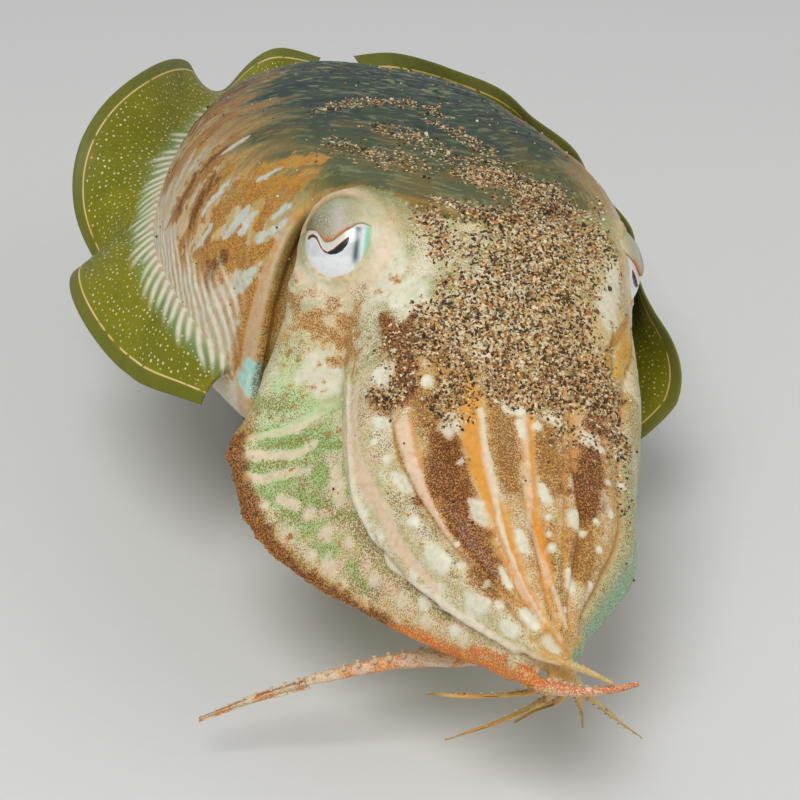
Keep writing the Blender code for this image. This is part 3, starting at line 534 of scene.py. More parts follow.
def finGrid(side, columns, rows):
    spec = finShape[side]
    t = np.linspace(*finShape["ends"], columns)
    foot = mantlePoint(t, radians(spec["root"]))
    line = unit(np.gradient(foot, axis=0), 1)
    out = np.cross(line, (0, 0, 1.0))
    out = unit(out * np.where(out[:, :1] * side < 0, -1, 1), 1)
    lift = np.cross(out, line)
    lift *= np.where(lift[:, 2:3] < 0, -1, 1)
    rise = np.radians(smoothCurve(spec["raised"], t))
    wide, lean = smoothCurve(spec["width"], t), smoothCurve(spec["lean"], t)
    steps = np.linspace(0, 1, rows + 1)
    grid = [foot]
    for a, b in zip(steps[:-1], steps[1:]):
        m = (a + b) / 2
        turn = rise * (.45 + .75 * fade(0, .6, m))
        move = (out * np.cos(turn)[:, None] + lift * np.sin(turn)[:, None]) * (wide * (b - a))[:, None]
        grid.append(grid[-1] + move + line * (lean * (b - a) * (.4 + 1.2 * m))[:, None])
    return t, steps, np.array(grid), lift, wide


# One skin for mantle, head, funnel and arms
skinMake = {"voxel": .00050, "quickVoxel": .0008, "smooth": 5}
partMantle, partHead, partFunnel = 0, 1, 2


def armPart(side, k):
    return 10 * side + k + 20


def looseGroups(bm):
    # points that hang together, the largest group first
    seen, groups = np.zeros(len(bm.verts), bool), []
    for v in bm.verts:
        if seen[v.index]:
            continue
        todo, group = [v], []
        seen[v.index] = True
        while todo:
            w = todo.pop()
            group.append(w)
            for e in w.link_edges:
                o = e.other_vert(w)
                if not seen[o.index]:
                    seen[o.index] = True
                    todo.append(o)
        groups.append(group)
    return sorted(groups, key=len, reverse=True)


def buildBody():
    pieces = [(partMantle, mantleRings(), np.array([1.0, mantleShape["tailY"] + 1.0, -9.5])),
              (partHead, headRings(), None), (partFunnel, funnelRings(), None),
              (partHead, collarRings(), None), (armPart(-1, 3), coreRings(), None)]
    ends, frames, owners = [], {}, []
    for side in (1, -1):
        for k in (1, 2, 3, 4):
            rings, thin, frames[(side, k)] = armRings(side, k)
            pieces.append((armPart(side, k), rings, None))
            ends.append((armPart(side, k), thin, None))

    def addLofts(bm, lofts):
        for part, rings, start in lofts:
            verts, faces = loft(rings, start)
            mesh = meshOf("loft", toRow(verts), faces)
            bm.from_mesh(mesh)
            bpy.data.meshes.remove(mesh)
            owners.append((part, verts[:-2]))

    bm = bmesh.new()
    addLofts(bm, pieces)
    joined = bpy.data.meshes.new("skin")
    bm.to_mesh(joined)
    bm.free()
    ob = objectOf("skin", joined)
    remesh = ob.modifiers.new("oneSkin", "REMESH")
    remesh.mode = "VOXEL"
    remesh.voxel_size = skinMake["voxel"]
    soft = ob.modifiers.new("soften", "SMOOTH")
    soft.factor = .5
    soft.iterations = skinMake["smooth"]
    bakeModifiers(ob)
    # drop small closed pockets left inside, then add the thin ends of the arms
    bm = bmesh.new()
    bm.from_mesh(ob.data)
    groups = looseGroups(bm)
    print("skin pieces", [len(g) for g in groups[:5]])
    bmesh.ops.delete(bm, geom=[v for g in groups[1:] for v in g], context="VERTS")
    addLofts(bm, ends)
    bm.to_mesh(ob.data)
    bm.free()
    ob.data.polygons.foreach_set("use_smooth", [True] * len(ob.data.polygons))
    return ob, owners, frames


skin, partOwners, armFrames = buildBody()
print("skin joined:", len(skin.data.vertices), "points")


# Where each point of the skin is on the animal
def surfacePlaces(points):
    tree = kdtree.KDTree(sum(len(verts) for _, verts in partOwners))
    owner = []
    for part, verts in partOwners:
        for v in verts:
            tree.insert(v, len(owner))
            owner.append(part)
    tree.balance()
    part = np.array(owner)[[tree.find(p)[1] for p in points]]
    x, y, z = points.T
    m = mantleShape
    t = np.clip(y / m["tailY"], 0, 1)
    for _ in range(3):
        p = 1 + .35 * (1 - fade(0, .5, t))
        dz = z - smoothCurve(m["sideZ"], t)
        dx = (x - smoothCurve(m["shift"], t)) / smoothCurve(m["width"], t)
        dz = dz / np.where(dz > 0, smoothCurve(m["top"], t), smoothCurve(m["under"], t))
        angle = np.degrees(np.arctan2(signedPower(dz, p), signedPower(dx, p)))
        rim = smoothCurve(m["rimY"], (angle + 90) % 360 - 90)
        t = np.clip((y - rim) / (m["tailY"] - rim), 0, 1)
    lip = (np.abs(dx) ** (2 * p) + np.abs(dz) ** (2 * p)) ** (.5 / p)
    cx, cz, w, up, down = smoothCurve(crownShape["rings"], -y).T
    p = crownShape["square"] / 2
    dx, dz = (x - cx) / w, (z - cz) / np.where(z > cz, up, down)
    theta = np.degrees(np.arctan2(signedPower(dx, p), signedPower(dz, p)))
    core = np.hypot(x - cx, z - cz) / w
    return {"part": part, "t": t, "angle": angle, "theta": theta, "core": core, "lip": lip}


def eyeFrame(side):
    look = unit(np.array(eyeShape["look"][side], float))
    across = unit(np.cross((0, 0, 1), look))
    return look, across, np.cross(look, across)


def openingPlace(side, across, up):
    # place on the eye as parts of its opening, whose edge is 1 from its middle
    wide, tall = eyeShape["opening"][side]
    return (across - eyeShape["shift"][side]) / wide, up / tall


def openLids(points, head):
    # push the skin back inside the opening of each eye and raise its edge
    e = eyeShape
    for side in (1, -1):
        look, across, up = eyeFrame(side)
        rel = points - np.array(e["at"][side])
        dist = np.linalg.norm(rel, axis=1)
        near = head & (rel @ look > 0) & (dist < e["radius"] + 6)
        u, v = openingPlace(side, rel[near] @ across, rel[near] @ up)
        ring = np.hypot(u, v)
        fold = (.45 + .55 * fade(-.4, .8, v)) * (.15 + .85 * fade(-.7, .7, u * side))
        edge = e["radius"] + .6 + 1.2 * fold
        r = dist[near]
        inside = e["radius"] - 1.2 + (edge - e["radius"] + 1.2) * fade(.88, 1.02, ring)
        groove = -.6 * fold * bell(1.34, .09, ring)
        outside = edge + (r - edge) * fade(1.04, 1.45, ring) + groove
        new = np.where(ring < 1.04, inside, outside)
        new = np.where(ring < 1.7, new, r)
        points[near] = np.array(e["at"][side]) + rel[near] / r[:, None] * new[:, None]
    return points


# Colours are plain linear RGB
hues = {
    "deepTeal": (.006, .034, .022), "teal": (.022, .062, .022), "moss": (.110, .125, .030),
    "umber": (.250, .095, .018), "rust": (.500, .200, .030), "darkBrown": (.085, .016, .004),
    "paleBlue": (.600, .640, .560), "cream": (.720, .640, .380), "ivory": (.820, .790, .620),
    "pinkTan": (.600, .440, .280), "mint": (.500, .740, .360), "aqua": (.420, .780, .720),
    "peach": (.840, .580, .380), "web": (.780, .340, .040), "straw": (.640, .450, .150),
    "yellow": (.760, .400, .015), "sage": (.400, .450, .200), "leaf": (.330, .580, .190),
    "turquoise": (.270, .580, .370), "belly": (.700, .650, .500), "fire": (.640, .130, .020),
    "blush": (.850, .620, .430), "olive": (.250, .240, .004), "oliveDark": (.165, .175, .003),
    "oliveDust": (.260, .160, .020), "clay": (.680, .320, .070), "amber": (.520, .220, .030),
    "gold": (.600, .290, .035), "rosy": (.800, .650, .460),
}

# Marks are drawn where the view shows them and then carried by the skin itself.
# Each is a line of places: across and down the picture, half width in mm.
marks = {
    "darkBands": [
        [(446, 436, 2.4), (445, 455, 3.5), (447, 478, 3.9), (455, 500, 3.3), (463, 522, 2.8),
         (474, 540, 2.5), (484, 556, 2.2), (490, 572, 1.5)],
        [(594, 447, 2.4), (592, 462, 3), (590, 480, 3.1), (589, 498, 2.5), (590, 512, 1.6)],
        [(380, 314, .9), (388, 326, 1.7), (395, 340, 2.9), (398, 352, 2.7)],
        [(412, 315, .8), (404, 328, 1.6), (397, 342, 2.8)],
        [(399, 352, 2.6), (406, 368, 2.2), (402, 388, 2.6), (386, 400, 2.4), (374, 396, 1.6)],
        [(608, 398, 2.2), (600, 412, 2.2), (595, 424, 1.7), (608, 430, 1.5)]],
    "brownBands": [
        [(505, 410, 2.2), (506, 430, 2.6), (508, 450, 2.7), (510, 470, 2.3), (511, 484, 1.5)],
        [(549, 430, 1.8), (552, 448, 2.4), (553, 468, 2.4), (551, 484, 1.5)],
        [(424, 398, 2.6), (431, 411, 1.8)], [(583, 535, 1.8), (580, 556, 1.5), (577, 572, 1)],
        [(455, 380, 3), (447, 398, 2.2)], [(512, 372, 2.6), (514, 388, 2)],
        [(541, 536, 1.4), (547, 560, 1.2)], [(595, 372, 2.6), (588, 388, 2)],
        [(476, 575, 1.4), (492, 592, 1.2)], [(430, 330, 2.6), (436, 350, 2.4)],
        [(550, 380, 2.2), (548, 398, 1.6)], [(584, 520, 1.7), (590, 560, 1.3), (588, 580, .8)]],
    "rustCloud": [
        [(285, 300, 2.6), (300, 312, 3.4), (318, 328, 3.5), (337, 345, 3), (349, 362, 1.8)],
        [(334, 304, 2), (345, 320, 3), (350, 340, 2.2)], [(310, 292, 1.3)], [(352, 300, 1.5)],
        [(282, 288, 1.6)], [(520, 322, 4), (500, 336, 3)], [(455, 350, 3.4), (470, 340, 3)],
        [(556, 330, 3)]],
    "white": [
        [(451, 425, 1.9)], [(447, 414, 1.3)], [(474, 502, 1.2), (479, 516, 1.5)],
        [(507, 407, 1.1), (522, 409, 1.3)], [(521, 420, .9), (523, 432, .8)], [(538, 425, 1.1)],
        [(549, 414, 1.4), (558, 418, 1.3)], [(584, 401, 1.1)],
        [(586, 436, 1.5), (594, 441, 1.5), (602, 449, .9)], [(619, 456, 1)], [(626, 484, 1)],
        [(544, 486, .9), (545, 498, 1)], [(575, 514, 1.5), (577, 522, 1.4)], [(550, 515, .7)],
        [(553, 546, .9)], [(551, 533, .6)], [(584, 531, .6)], [(614, 514, .9)], [(603, 549, 1)],
        [(436, 557, 2.1), (438, 565, 2.1)], [(453, 545, .7)], [(472, 604, 1.9), (478, 608, 1.6)],
        [(461, 564, .7)], [(521, 531, .9), (524, 546, 1.1)], [(504, 570, 1.1), (509, 582, .9)],
        [(573, 572, .8), (573, 586, .9)], [(593, 587, .9)], [(524, 610, 1.1), (532, 622, 1.2)],
        [(504, 628, 1.4), (510, 632, 1.1)], [(549, 640, .9), (556, 650, .9)], [(420, 603, 1.2)],
        [(453, 631, 1.2)], [(484, 583, .6)], [(497, 603, .8)], [(568, 610, .6)], [(378, 420, 1.5)],
        [(387, 456, 1)], [(398, 474, 1), (404, 486, 1)], [(378, 537, .9)], [(363, 512, .8)],
        [(412, 578, 1)], [(459, 458, .5)], [(372, 440, .8)], [(412, 520, .9)], [(440, 590, .8)],
        [(598, 520, .7)], [(610, 480, .7)]],
    "bigWhite": [[(382, 371, 2.1)], [(428, 380, 1.3)], [(487, 352, 1.8)], [(393, 300, 1.4)]],
    "web": [
        [(470, 378, 1.4), (471, 400, 1.9), (475, 433, 2), (483, 470, 1.9), (493, 500, 1.7),
         (503, 524, 1.5), (514, 553, 1.2), (525, 586, 1), (541, 614, .8), (558, 640, .6)],
        [(529, 392, .7), (530, 415, .9), (530, 443, 1), (531, 478, .9), (534, 509, 1), (540, 532, .95),
         (545, 556, .8), (553, 580, .6)]],
    "blush": [
        [(402, 424, 1.6), (408, 445, 1.7), (414, 466, 1.3), (421, 486, .9), (432, 512, .6), (448, 540, .5)],
        [(353, 386, .8), (350.5, 415, .9), (352, 440, 1), (356, 465, 1.4), (368, 494, 1.7),
         (384, 517, 1.5), (396, 545, 1.2), (417, 570, .7), (437, 593, .5)]],
    "redLine": [
        [(411.5, 410, .45), (420, 453, .5), (433, 494, .5), (448, 530, .5), (469, 558, .5),
         (497, 586, .5), (522, 606, .45), (545, 626, .4), (567, 650, .4)],
        [(569, 415, .4), (567, 450, .5), (566, 500, .5), (565, 560, .5), (564, 590, .4)],
        [(503, 560, .4), (527, 600, .4), (552, 632, .4)]],
    "paleLine": [
        [(481.6, 407, .5), (488, 458, .55), (495.7, 489, .55), (499, 519, .5), (510, 555, .5),
         (522, 585, .45), (544, 617, .4), (563, 642, .4)],
        [(526, 384, .4), (526, 422, .5), (527.5, 478, .5), (533, 519, .5), (542, 555, .45),
         (554, 588, .4), (567, 626, .35)],
        [(345.5, 378, .5), (346.5, 443, .6), (353, 494, .7), (366, 530, .7), (389, 563, .7),
         (422, 591, .7), (460, 618, .7), (502, 642, .6), (553, 665, .55), (590, 683, .5)]],
    "ripple": [
        [(251, 436, .7), (268, 432, .8), (284, 430, .9), (304, 420, .8), (322, 407, .7), (338, 400, .5)],
        [(246, 454, .8), (262, 455, .8), (280, 453, .9), (300, 451, .9), (314, 440, .6)],
        [(246, 475, .8), (262, 476, .8), (285, 472, 1), (308, 468, .8)], [(248, 496, 1.3), (262, 504, 1)],
        [(278, 500, .9), (296, 504, .8)], [(284, 535, 1.9)], [(306, 512, 1.4)], [(327, 568, 1.7)],
        [(399, 600, 1.4)], [(422, 603, 1.2)], [(340, 585, 1.4)], [(362, 606, 1.5)], [(395, 624, 1.1)],
        [(347, 541, 1.3)], [(325, 530, 1.5)], [(310, 555, 1.2)], [(372, 582, 1.2)],
        [(335, 470, 1.3), (338, 500, 1.2)], [(425, 622, 1.2)], [(460, 640, 1.2)], [(480, 655, 1.1)],
        [(444, 612, .9)]],
    "leaf": [
        [(262, 444, 1), (280, 442, 1.2), (298, 438, .9)], [(262, 465, 1), (285, 463, 1.3), (306, 460, 1)],
        [(258, 488, 1.2), (280, 486, 1.7), (302, 488, 1.2)], [(308, 430, 1.1), (330, 418, 1.1)],
        [(316, 455, 1.4), (318, 480, 1.6), (312, 505, 1.6)], [(285, 517, 1.6), (308, 526, 1.4)],
        [(312, 545, 1.3), (332, 550, 1.3)], [(296, 398, 1.8), (322, 388, 1.6)],
        [(346, 566, 1.3), (362, 586, 1.2)]],
    "oliveDust": [
        [(268, 446, 1.2), (286, 443, 1.4), (302, 438, 1.1)], [(284, 518, 1.9), (300, 512, 1.5)],
        [(322, 500, 1.6), (338, 512, 1.8)],
        [(346, 492, 1.5), (353, 530, 2), (376, 556, 1.8), (400, 580, 1.6), (420, 598, 1.4), (446, 618, 1)],
        [(352, 584, 1.9), (372, 592, 1.7)], [(306, 440, .5), (304, 464, .9), (301, 488, .9)],
        [(270, 404, 1.4), (286, 397, 1.6), (304, 392, 1.2)], [(262, 464, .8), (282, 462, .9)]],
    "rimSpots": [
        [(238, 434, 1.2), (234, 448, 2), (234, 462, 2.6), (237, 480, 2.6), (243, 496, 2.2),
         (250, 512, 1.9), (260, 530, 1.9), (270, 548, 1.5), (284, 562, 1.9), (300, 576, 1.5),
         (315, 584, 1.6), (334, 598, 1.4), (353, 611, 1.7), (372, 620, 1.3), (391, 629, 1.5)]],
    "emberRim": [
        [(391, 630, 1.1), (424, 643, 1.4), (460, 658, 1.3), (500, 672, 1.2), (540, 682, 1.1),
         (575, 686, 1), (610, 687, .9), (634, 687, .8)], [(470, 650, .9), (500, 660, .8)],
        [(520, 668, .8), (550, 674, .8)]],
    "flankBrown": [
        [(170, 217, 1.2), (188, 188, 1.7), (207, 162, 1.8), (234, 139, 1.3)],
        [(187, 232, 1.4), (202, 196, 1.8), (225, 167, 1.4)],
        [(205, 232, 1.3), (225, 201, 1.7), (250, 180, 1.8), (280, 160, 1.5), (322, 157, 1.1)],
        [(172, 270, 1.3), (186, 258, 1.5), (198, 247, 1.2)],
        [(197, 272, 2), (211, 256, 2.8), (232, 240, 2.2)],
        [(207, 288, 1.3), (221, 268, 1.8), (240, 254, 1.8)],
        [(248, 197, 1.2), (267, 182, 1.4), (290, 178, 1.1)], [(257, 222, .9), (273, 201, 1.1)],
        [(243, 256, 1.3), (267, 247, 1.2)], [(226, 310, 1.5), (240, 297, 1.6), (255, 286, 1.2)],
        [(236, 343, 1.3), (250, 323, 1.6), (252, 305, 1)],
        [(176, 250, .9), (186, 232, 1.2), (196, 214, .9)], [(285, 190, 1), (304, 172, 1.2)],
        [(228, 362, 1.2), (236, 350, 1)], [(262, 268, .8), (268, 258, .8)],
        [(200, 140, 1), (226, 118, 1.2), (250, 104, 1)]],
    "flankPale": [
        [(202, 209, .7), (212, 196, .9), (225, 180, .7)], [(222, 236, .6), (232, 224, 1), (245, 208, .8)],
        [(192, 248, .6), (200, 238, .8), (207, 226, .6)], [(220, 151, .5), (232, 143, .8), (246, 134, .5)],
        [(256, 179, .5), (266, 172, .7), (278, 166, .5)], [(246, 280, .6), (238, 290, .9), (227, 297, .7)],
        [(170, 320, .9), (182, 300, 1.1), (192, 284, .8)],
        [(257, 238, .9), (268, 230, 1.1), (282, 222, .8)], [(186, 330, 1), (204, 312, 1.2), (216, 292, .9)],
        [(240, 230, .8), (252, 212, .8)], [(176, 296, .8), (188, 276, 1)], [(262, 300, .9), (264, 284, .9)],
        [(204, 344, 1.2), (220, 326, 1.2)], [(252, 268, .7), (240, 276, .6)],
        [(270, 216, .9), (284, 204, .9)], [(216, 366, 1), (226, 340, 1)]],
    "darkFlank": [
        [(205, 275, .9), (213, 262, 1.3), (222, 254, .9)],
        [(188, 224, .7), (200, 198, 1.1), (212, 178, .8)], [(178, 204, .7), (196, 174, .9), (220, 148, .7)],
        [(204, 286, .7), (210, 276, .8)]],
    "aqua": [[(246, 368, 1.8), (258, 376, 2.4), (252, 388, 2.4), (240, 380, 1.6)], [(268, 372, 1.6)]],
    "goldFold": [[(634, 304, .5), (629, 322, .8), (620, 336, .9), (612, 350, .9), (607, 368, .8)]],
    "yellow": [[(630, 334, 1.2), (630, 345, 2), (626, 362, 2.1), (621, 376, 1.6)], [(281, 336, .9)]],
    "eyeCream": [
        [(614, 262, 1.6), (616, 284, 2.4), (608, 302, 2.8), (612, 320, 2.6)],
        [(386, 232, 2.6), (388, 258, 3), (380, 284, 3)], [(410, 290, 3.2), (416, 310, 2.4)]],
    "mintWash": [[(284, 357, 2.4), (294, 368, 2.2)], [(266, 420, 3), (300, 408, 3)], [(280, 392, 3)]],
    "paleCheek": [[(317, 369, 3.4), (334, 380, 2.8), (322, 384, 2.4)], [(300, 378, 1.4)]],
    "oliveLines": [
        [(637, 322, .35), (636, 345, .45), (629, 374, .4)],
        [(617, 330, .35), (614, 352, .45), (615, 374, .4)], [(352, 356, .5), (348, 372, .5)]],
    "sand": [
        [(476, 175, 3.5), (505, 172, 4), (520, 180, 3.2)],
        [(540, 205, 6), (565, 204, 6.5), (588, 208, 5.5)], [(520, 232, 7), (555, 228, 8), (592, 240, 5.5)],
        [(500, 262, 6.5), (540, 258, 8), (575, 268, 6)],
        [(478, 290, 6), (515, 292, 8), (555, 296, 7.5), (578, 320, 4)],
        [(452, 312, 5), (490, 322, 6.5), (535, 330, 7.5), (575, 345, 6)],
        [(440, 340, 4.5), (470, 355, 5), (520, 362, 6.5), (565, 372, 6), (600, 378, 4)],
        [(455, 385, 3.5), (440, 404, 2.4)],
        [(500, 385, 3.5), (540, 392, 3.5), (580, 392, 3.5), (610, 402, 3.2)],
        [(618, 425, 2.6), (623, 450, 2)], [(430, 220, 3), (443, 240, 2.6), (440, 250, 2)],
        [(450, 200, 3), (468, 206, 3)], [(492, 212, 3.5)], [(386, 398, 2.6), (372, 392, 1.6)]],
    "sandThin": [
        [(318, 108, 1.6), (345, 102, 2.8), (378, 99, 3.4), (405, 100, 3.4), (426, 104, 2.6), (440, 112, 2)],
        [(440, 120, 2.4), (462, 132, 2.2), (486, 150, 2.4)], [(470, 158, 2.4), (500, 160, 2.4)],
        [(412, 352, 2.6), (404, 376, 3)], [(560, 425, 3), (600, 440, 3)],
        [(626, 480, 2.2), (628, 520, 1.4)], [(462, 420, 2)], [(390, 345, 3)],
        [(640, 305, 1.4), (640, 318, 1)], [(604, 210, 3), (620, 240, 2)],
        [(390, 125, 4), (440, 150, 4), (520, 190, 4)], [(330, 140, 3), (400, 160, 5)]],
}



markLook = {
    # raised or sunk lines of the skin, in mm
    "relief": {"paleLine": .42, "web": -.5, "redLine": -.42, "oliveLines": -.3, "white": .16, "bigWhite": .3,
               "ripple": .14},
    # how ragged the edges are, and how much wider than drawn
    "ragged": {"darkBands": .42, "brownBands": .5, "rustCloud": .95, "sand": .35, "sandThin": .5,
               "flankBrown": .5, "darkFlank": .5, "oliveDust": .5, "leaf": .4, "rimSpots": .5, "emberRim": .4,
               "white": .34, "bigWhite": .2, "flankPale": .4, "ripple": .4},
    "wider": {"flankBrown": 1.65, "darkFlank": 1.3, "darkBands": 1.08, "brownBands": 1.2, "white": .9},
    "bothSides": ("flankBrown", "flankPale", "darkFlank"),
}


def hue(name):
    return np.array(hues[name])


def lay(tint, colour, mask):
    tint += (np.array(colour) - tint) * np.asarray(mask, float)[:, None]


class Paint:
    def __init__(self, count, ground):
        self.tint = np.tile(hue(ground), (count, 1))
        self.ink = np.tile(hue("umber"), (count, 1))
        self.amount = np.zeros(count)

    def wash(self, name, mask):
        lay(self.tint, hue(name), np.clip(mask, 0, 1))

    def stipple(self, name, mask, amount):
        mask = np.clip(mask, 0, 1)
        lay(self.ink, hue(name), mask)
        self.amount += (amount - self.amount) * mask

    def clear(self, mask):
        self.amount *= 1 - np.clip(mask, 0, 1)


class Marker:
    # finds the place on the skin that the view shows, and lays marks round it in space
    def __init__(self, points):
        self.points = points
        self.across, self.down, self.deep = pixelOf(toRow(points))

    def place(self, x, y):
        for reach in (2.5, 6.0):
            near = np.flatnonzero((self.across - x) ** 2 + (self.down - y) ** 2 < reach ** 2)
            if len(near):
                return self.points[near[np.argmin(self.deep[near])]]
        return None

    def mask(self, name, wobble):
        ragged, grow = markLook["ragged"].get(name, .1), markLook["wider"].get(name, 1.0)
        soft = .5 if ragged > .3 else .35
        best = np.full(len(self.points), 9.0)
        for line in marks[name]:
            spots = [(self.place(x, y), w) for x, y, w in line]
            spots = [(p, w) for p, w in spots if p is not None]
            for (a, r0), (b, r1) in zip(spots, spots[1:] or spots):
                for flip in ((1, -1) if name in markLook["bothSides"] else (1,)):
                    start, way = a * (flip, 1, 1), (b - a) * (flip, 1, 1)
                    rel = self.points - start
                    q = np.clip(rel @ way / max(way @ way, 1e-9), 0, 1)
                    far = np.sqrt(((rel - q[:, None] * way) ** 2).sum(1)) / (r0 + (r1 - r0) * q) / grow
                    np.minimum(best, far, out=best)
        return 1 - fade(1 - soft, 1 + soft, best * (1 + wobble * ragged))


def edgeDistance(points, side):
    y = np.linspace(-12, 74, 500)
    edge = smoothCurve(skirtShape["right" if side < 0 else "left"], y)
    tree = kdtree.KDTree(len(y))
    for i, (a, b) in enumerate(zip(edge, y)):
        tree.insert((a[0], -b, a[1]), i)
    tree.balance()
    return np.array([tree.find(p)[2] for p in points])


# Pale rays that run from the flank out on to the fin, in mm along and below its root
rayLook = {"span": 150, "slant": 1.15, "wander": 1.6, "period": 3.2}


def finRays(along, below, side):
    # the slanted place along the row of rays, and 1 on a ray and 0 between two
    jitter = lump(np.stack([along, np.zeros_like(along), side * 5.0], 1), 5.0, 50)
    phase = along + rayLook["slant"] * below
    wave = np.sin((phase + jitter * rayLook["wander"]) * 2 * pi / rayLook["period"])
    return phase, fade(-.6, .7, wave)


def paintMantle(p, here, points, on, drawn):
    t, angle = here["t"], here["angle"]
    side = np.where(np.abs((angle + 360) % 360 - 180) < 90, -1, 1)
    # degrees down from the back, the same on both sides
    down = np.abs(((angle - 90 + 180) % 360) - 180)
    girth = smoothCurve(mantleShape["width"], t)
    around, along = np.radians(down) * girth, t * rayLook["span"]
    slanted = along + .55 * around
    streak = cloud(np.stack([slanted, around * .3, side * 40.0], 1), 2.6, 21, 2)
    fine = cloud(np.stack([slanted, around * .16, side * 70.0], 1), 1.15, 25, 2)
    ragged = .28 * fine + .3 * streak + .25 * cloud(points, .9, 29, 2)
    blot = cloud(np.stack([along, around * .34 + along * .25, side * 40.0], 1), 8.5, 3)
    flank = fade(30, 54, down + 9 * blot) * on
    p.wash("deepTeal", on)
    p.wash("teal", on * fade(-.1, .5, cloud(points, 9, 5)) * .8)
    p.wash("moss", on * (1 - fade(.06, .34, t)) * .8)
    p.wash("oliveDust", on * fade(-.1, .5, cloud(points, 7, 7)) * (1 - fade(.15, .4, t)) * .4)
    p.wash("straw", flank * .8)
    p.wash("rosy", flank * fade(50, 80, down) * .6)
    p.wash("paleBlue", flank * fade(-.2, .3, streak) * fade(40, 66, down) * .8)
    p.wash("gold", flank * fade(.05, .5, fine) * fade(104, 60, down) * .5)
    p.wash("umber", flank * fade(-.1, .4, -fine) * fade(60, 42, down) * .7)
    brown = flank * fade(.24, .42, t) * fade(-.2, .2, blot + .5 * fine) * fade(104, 84, down)
    p.wash("rust", brown * .8)
    p.wash("umber", brown * fade(-.1, .4, streak) * .6)
    p.wash("deepTeal", flank * fade(.42, .66, t) * fade(90, 66, down) * .75)
    p.stipple("amber", flank, .42)
    p.stipple("umber", brown, .66)
    browns = fade(.25, .7, drawn["flankBrown"] + ragged) * fade(.0, .2, drawn["flankBrown"]) * on
    p.wash("gold", browns * .9)
    p.wash("rust", browns * fade(.0, .5, ragged * 2) * .6)
    p.wash("umber", browns * fade(.10, .3, t) * .5)
    p.stipple("umber", browns, .62)
    darks = fade(.3, .8, drawn["darkFlank"] + ragged) * fade(.0, .2, drawn["darkFlank"]) * on
    p.wash("umber", darks * .8)
    p.stipple("darkBrown", darks, .66)
    pales = fade(.35, .8, drawn["flankPale"] + ragged * .7) * on
    p.wash("paleBlue", pales * .92)
    p.clear(pales * .75)
    p.stipple("darkBrown", on * fade(58, 34, down), .36)
    # painted highlight: glints of light laid into the colour on the fine folds of the back
    folds = cloud(np.stack([along, around * .4, side * 9.0], 1), 1.0, 33, 2)
    glint = on * fade(.3, .6, folds) * fade(80, 60, down)
    p.wash("sage", glint * (.3 + .25 * fade(.3, .6, t)))
    # pale rays at the root of the fin
    rootAt = np.where(side < 0, 90.0, 107.0)
    below = (down - rootAt) / 180 * pi * girth
    phase, rays = finRays(along, below, side)
    reach = 12 + 4 * lump(np.stack([phase, np.zeros_like(along), side * 3.0], 1), 2.3, 55)
    zone = fade(-reach, -reach * .45, below) * fade(6, 3, below) * on * fade(.015, .05, t)
    p.wash("pinkTan", zone * .7)
    p.wash("rust", zone * (1 - rays) * fade(-4, -12, below) * .3)
    p.wash("ivory", zone * rays * .95)
    p.clear(zone * (.4 + .5 * rays))
    belly = on * fade(rootAt + 4, rootAt + 16, down)
    p.wash("belly", belly)
    p.wash("pinkTan", belly * fade(.1, .6, cloud(points, 12, 8)) * .35)
    p.stipple("rust", belly, .16)
    # smooth rim, thin over the back, and speckled skin inside it
    low = fade(46, 84, down)
    rim = on * fade(.005 + .012 * low, .003 + .008 * low, t)
    p.wash("clay", rim * (.3 + .5 * low))
    p.wash("pinkTan", rim * low * .8)
    p.clear(rim * .9)
    inner = on * fade(.99, .955, here["lip"]) * fade(.03, .01, t) * fade(128, 112, down)
    p.wash("straw", inner * .85)
    p.wash("clay", inner * fade(-.2, .4, cloud(points, 2, 97)) * .5)
    p.wash("moss", inner * (1 - low) * .85)
    p.stipple("umber", inner, .62)
    p.wash("aqua", on * drawn["aqua"] * .9)
    p.wash("ivory", on * drawn["aqua"] * fade(.1, .5, cloud(points, 1.2, 98, 2)) * .4)


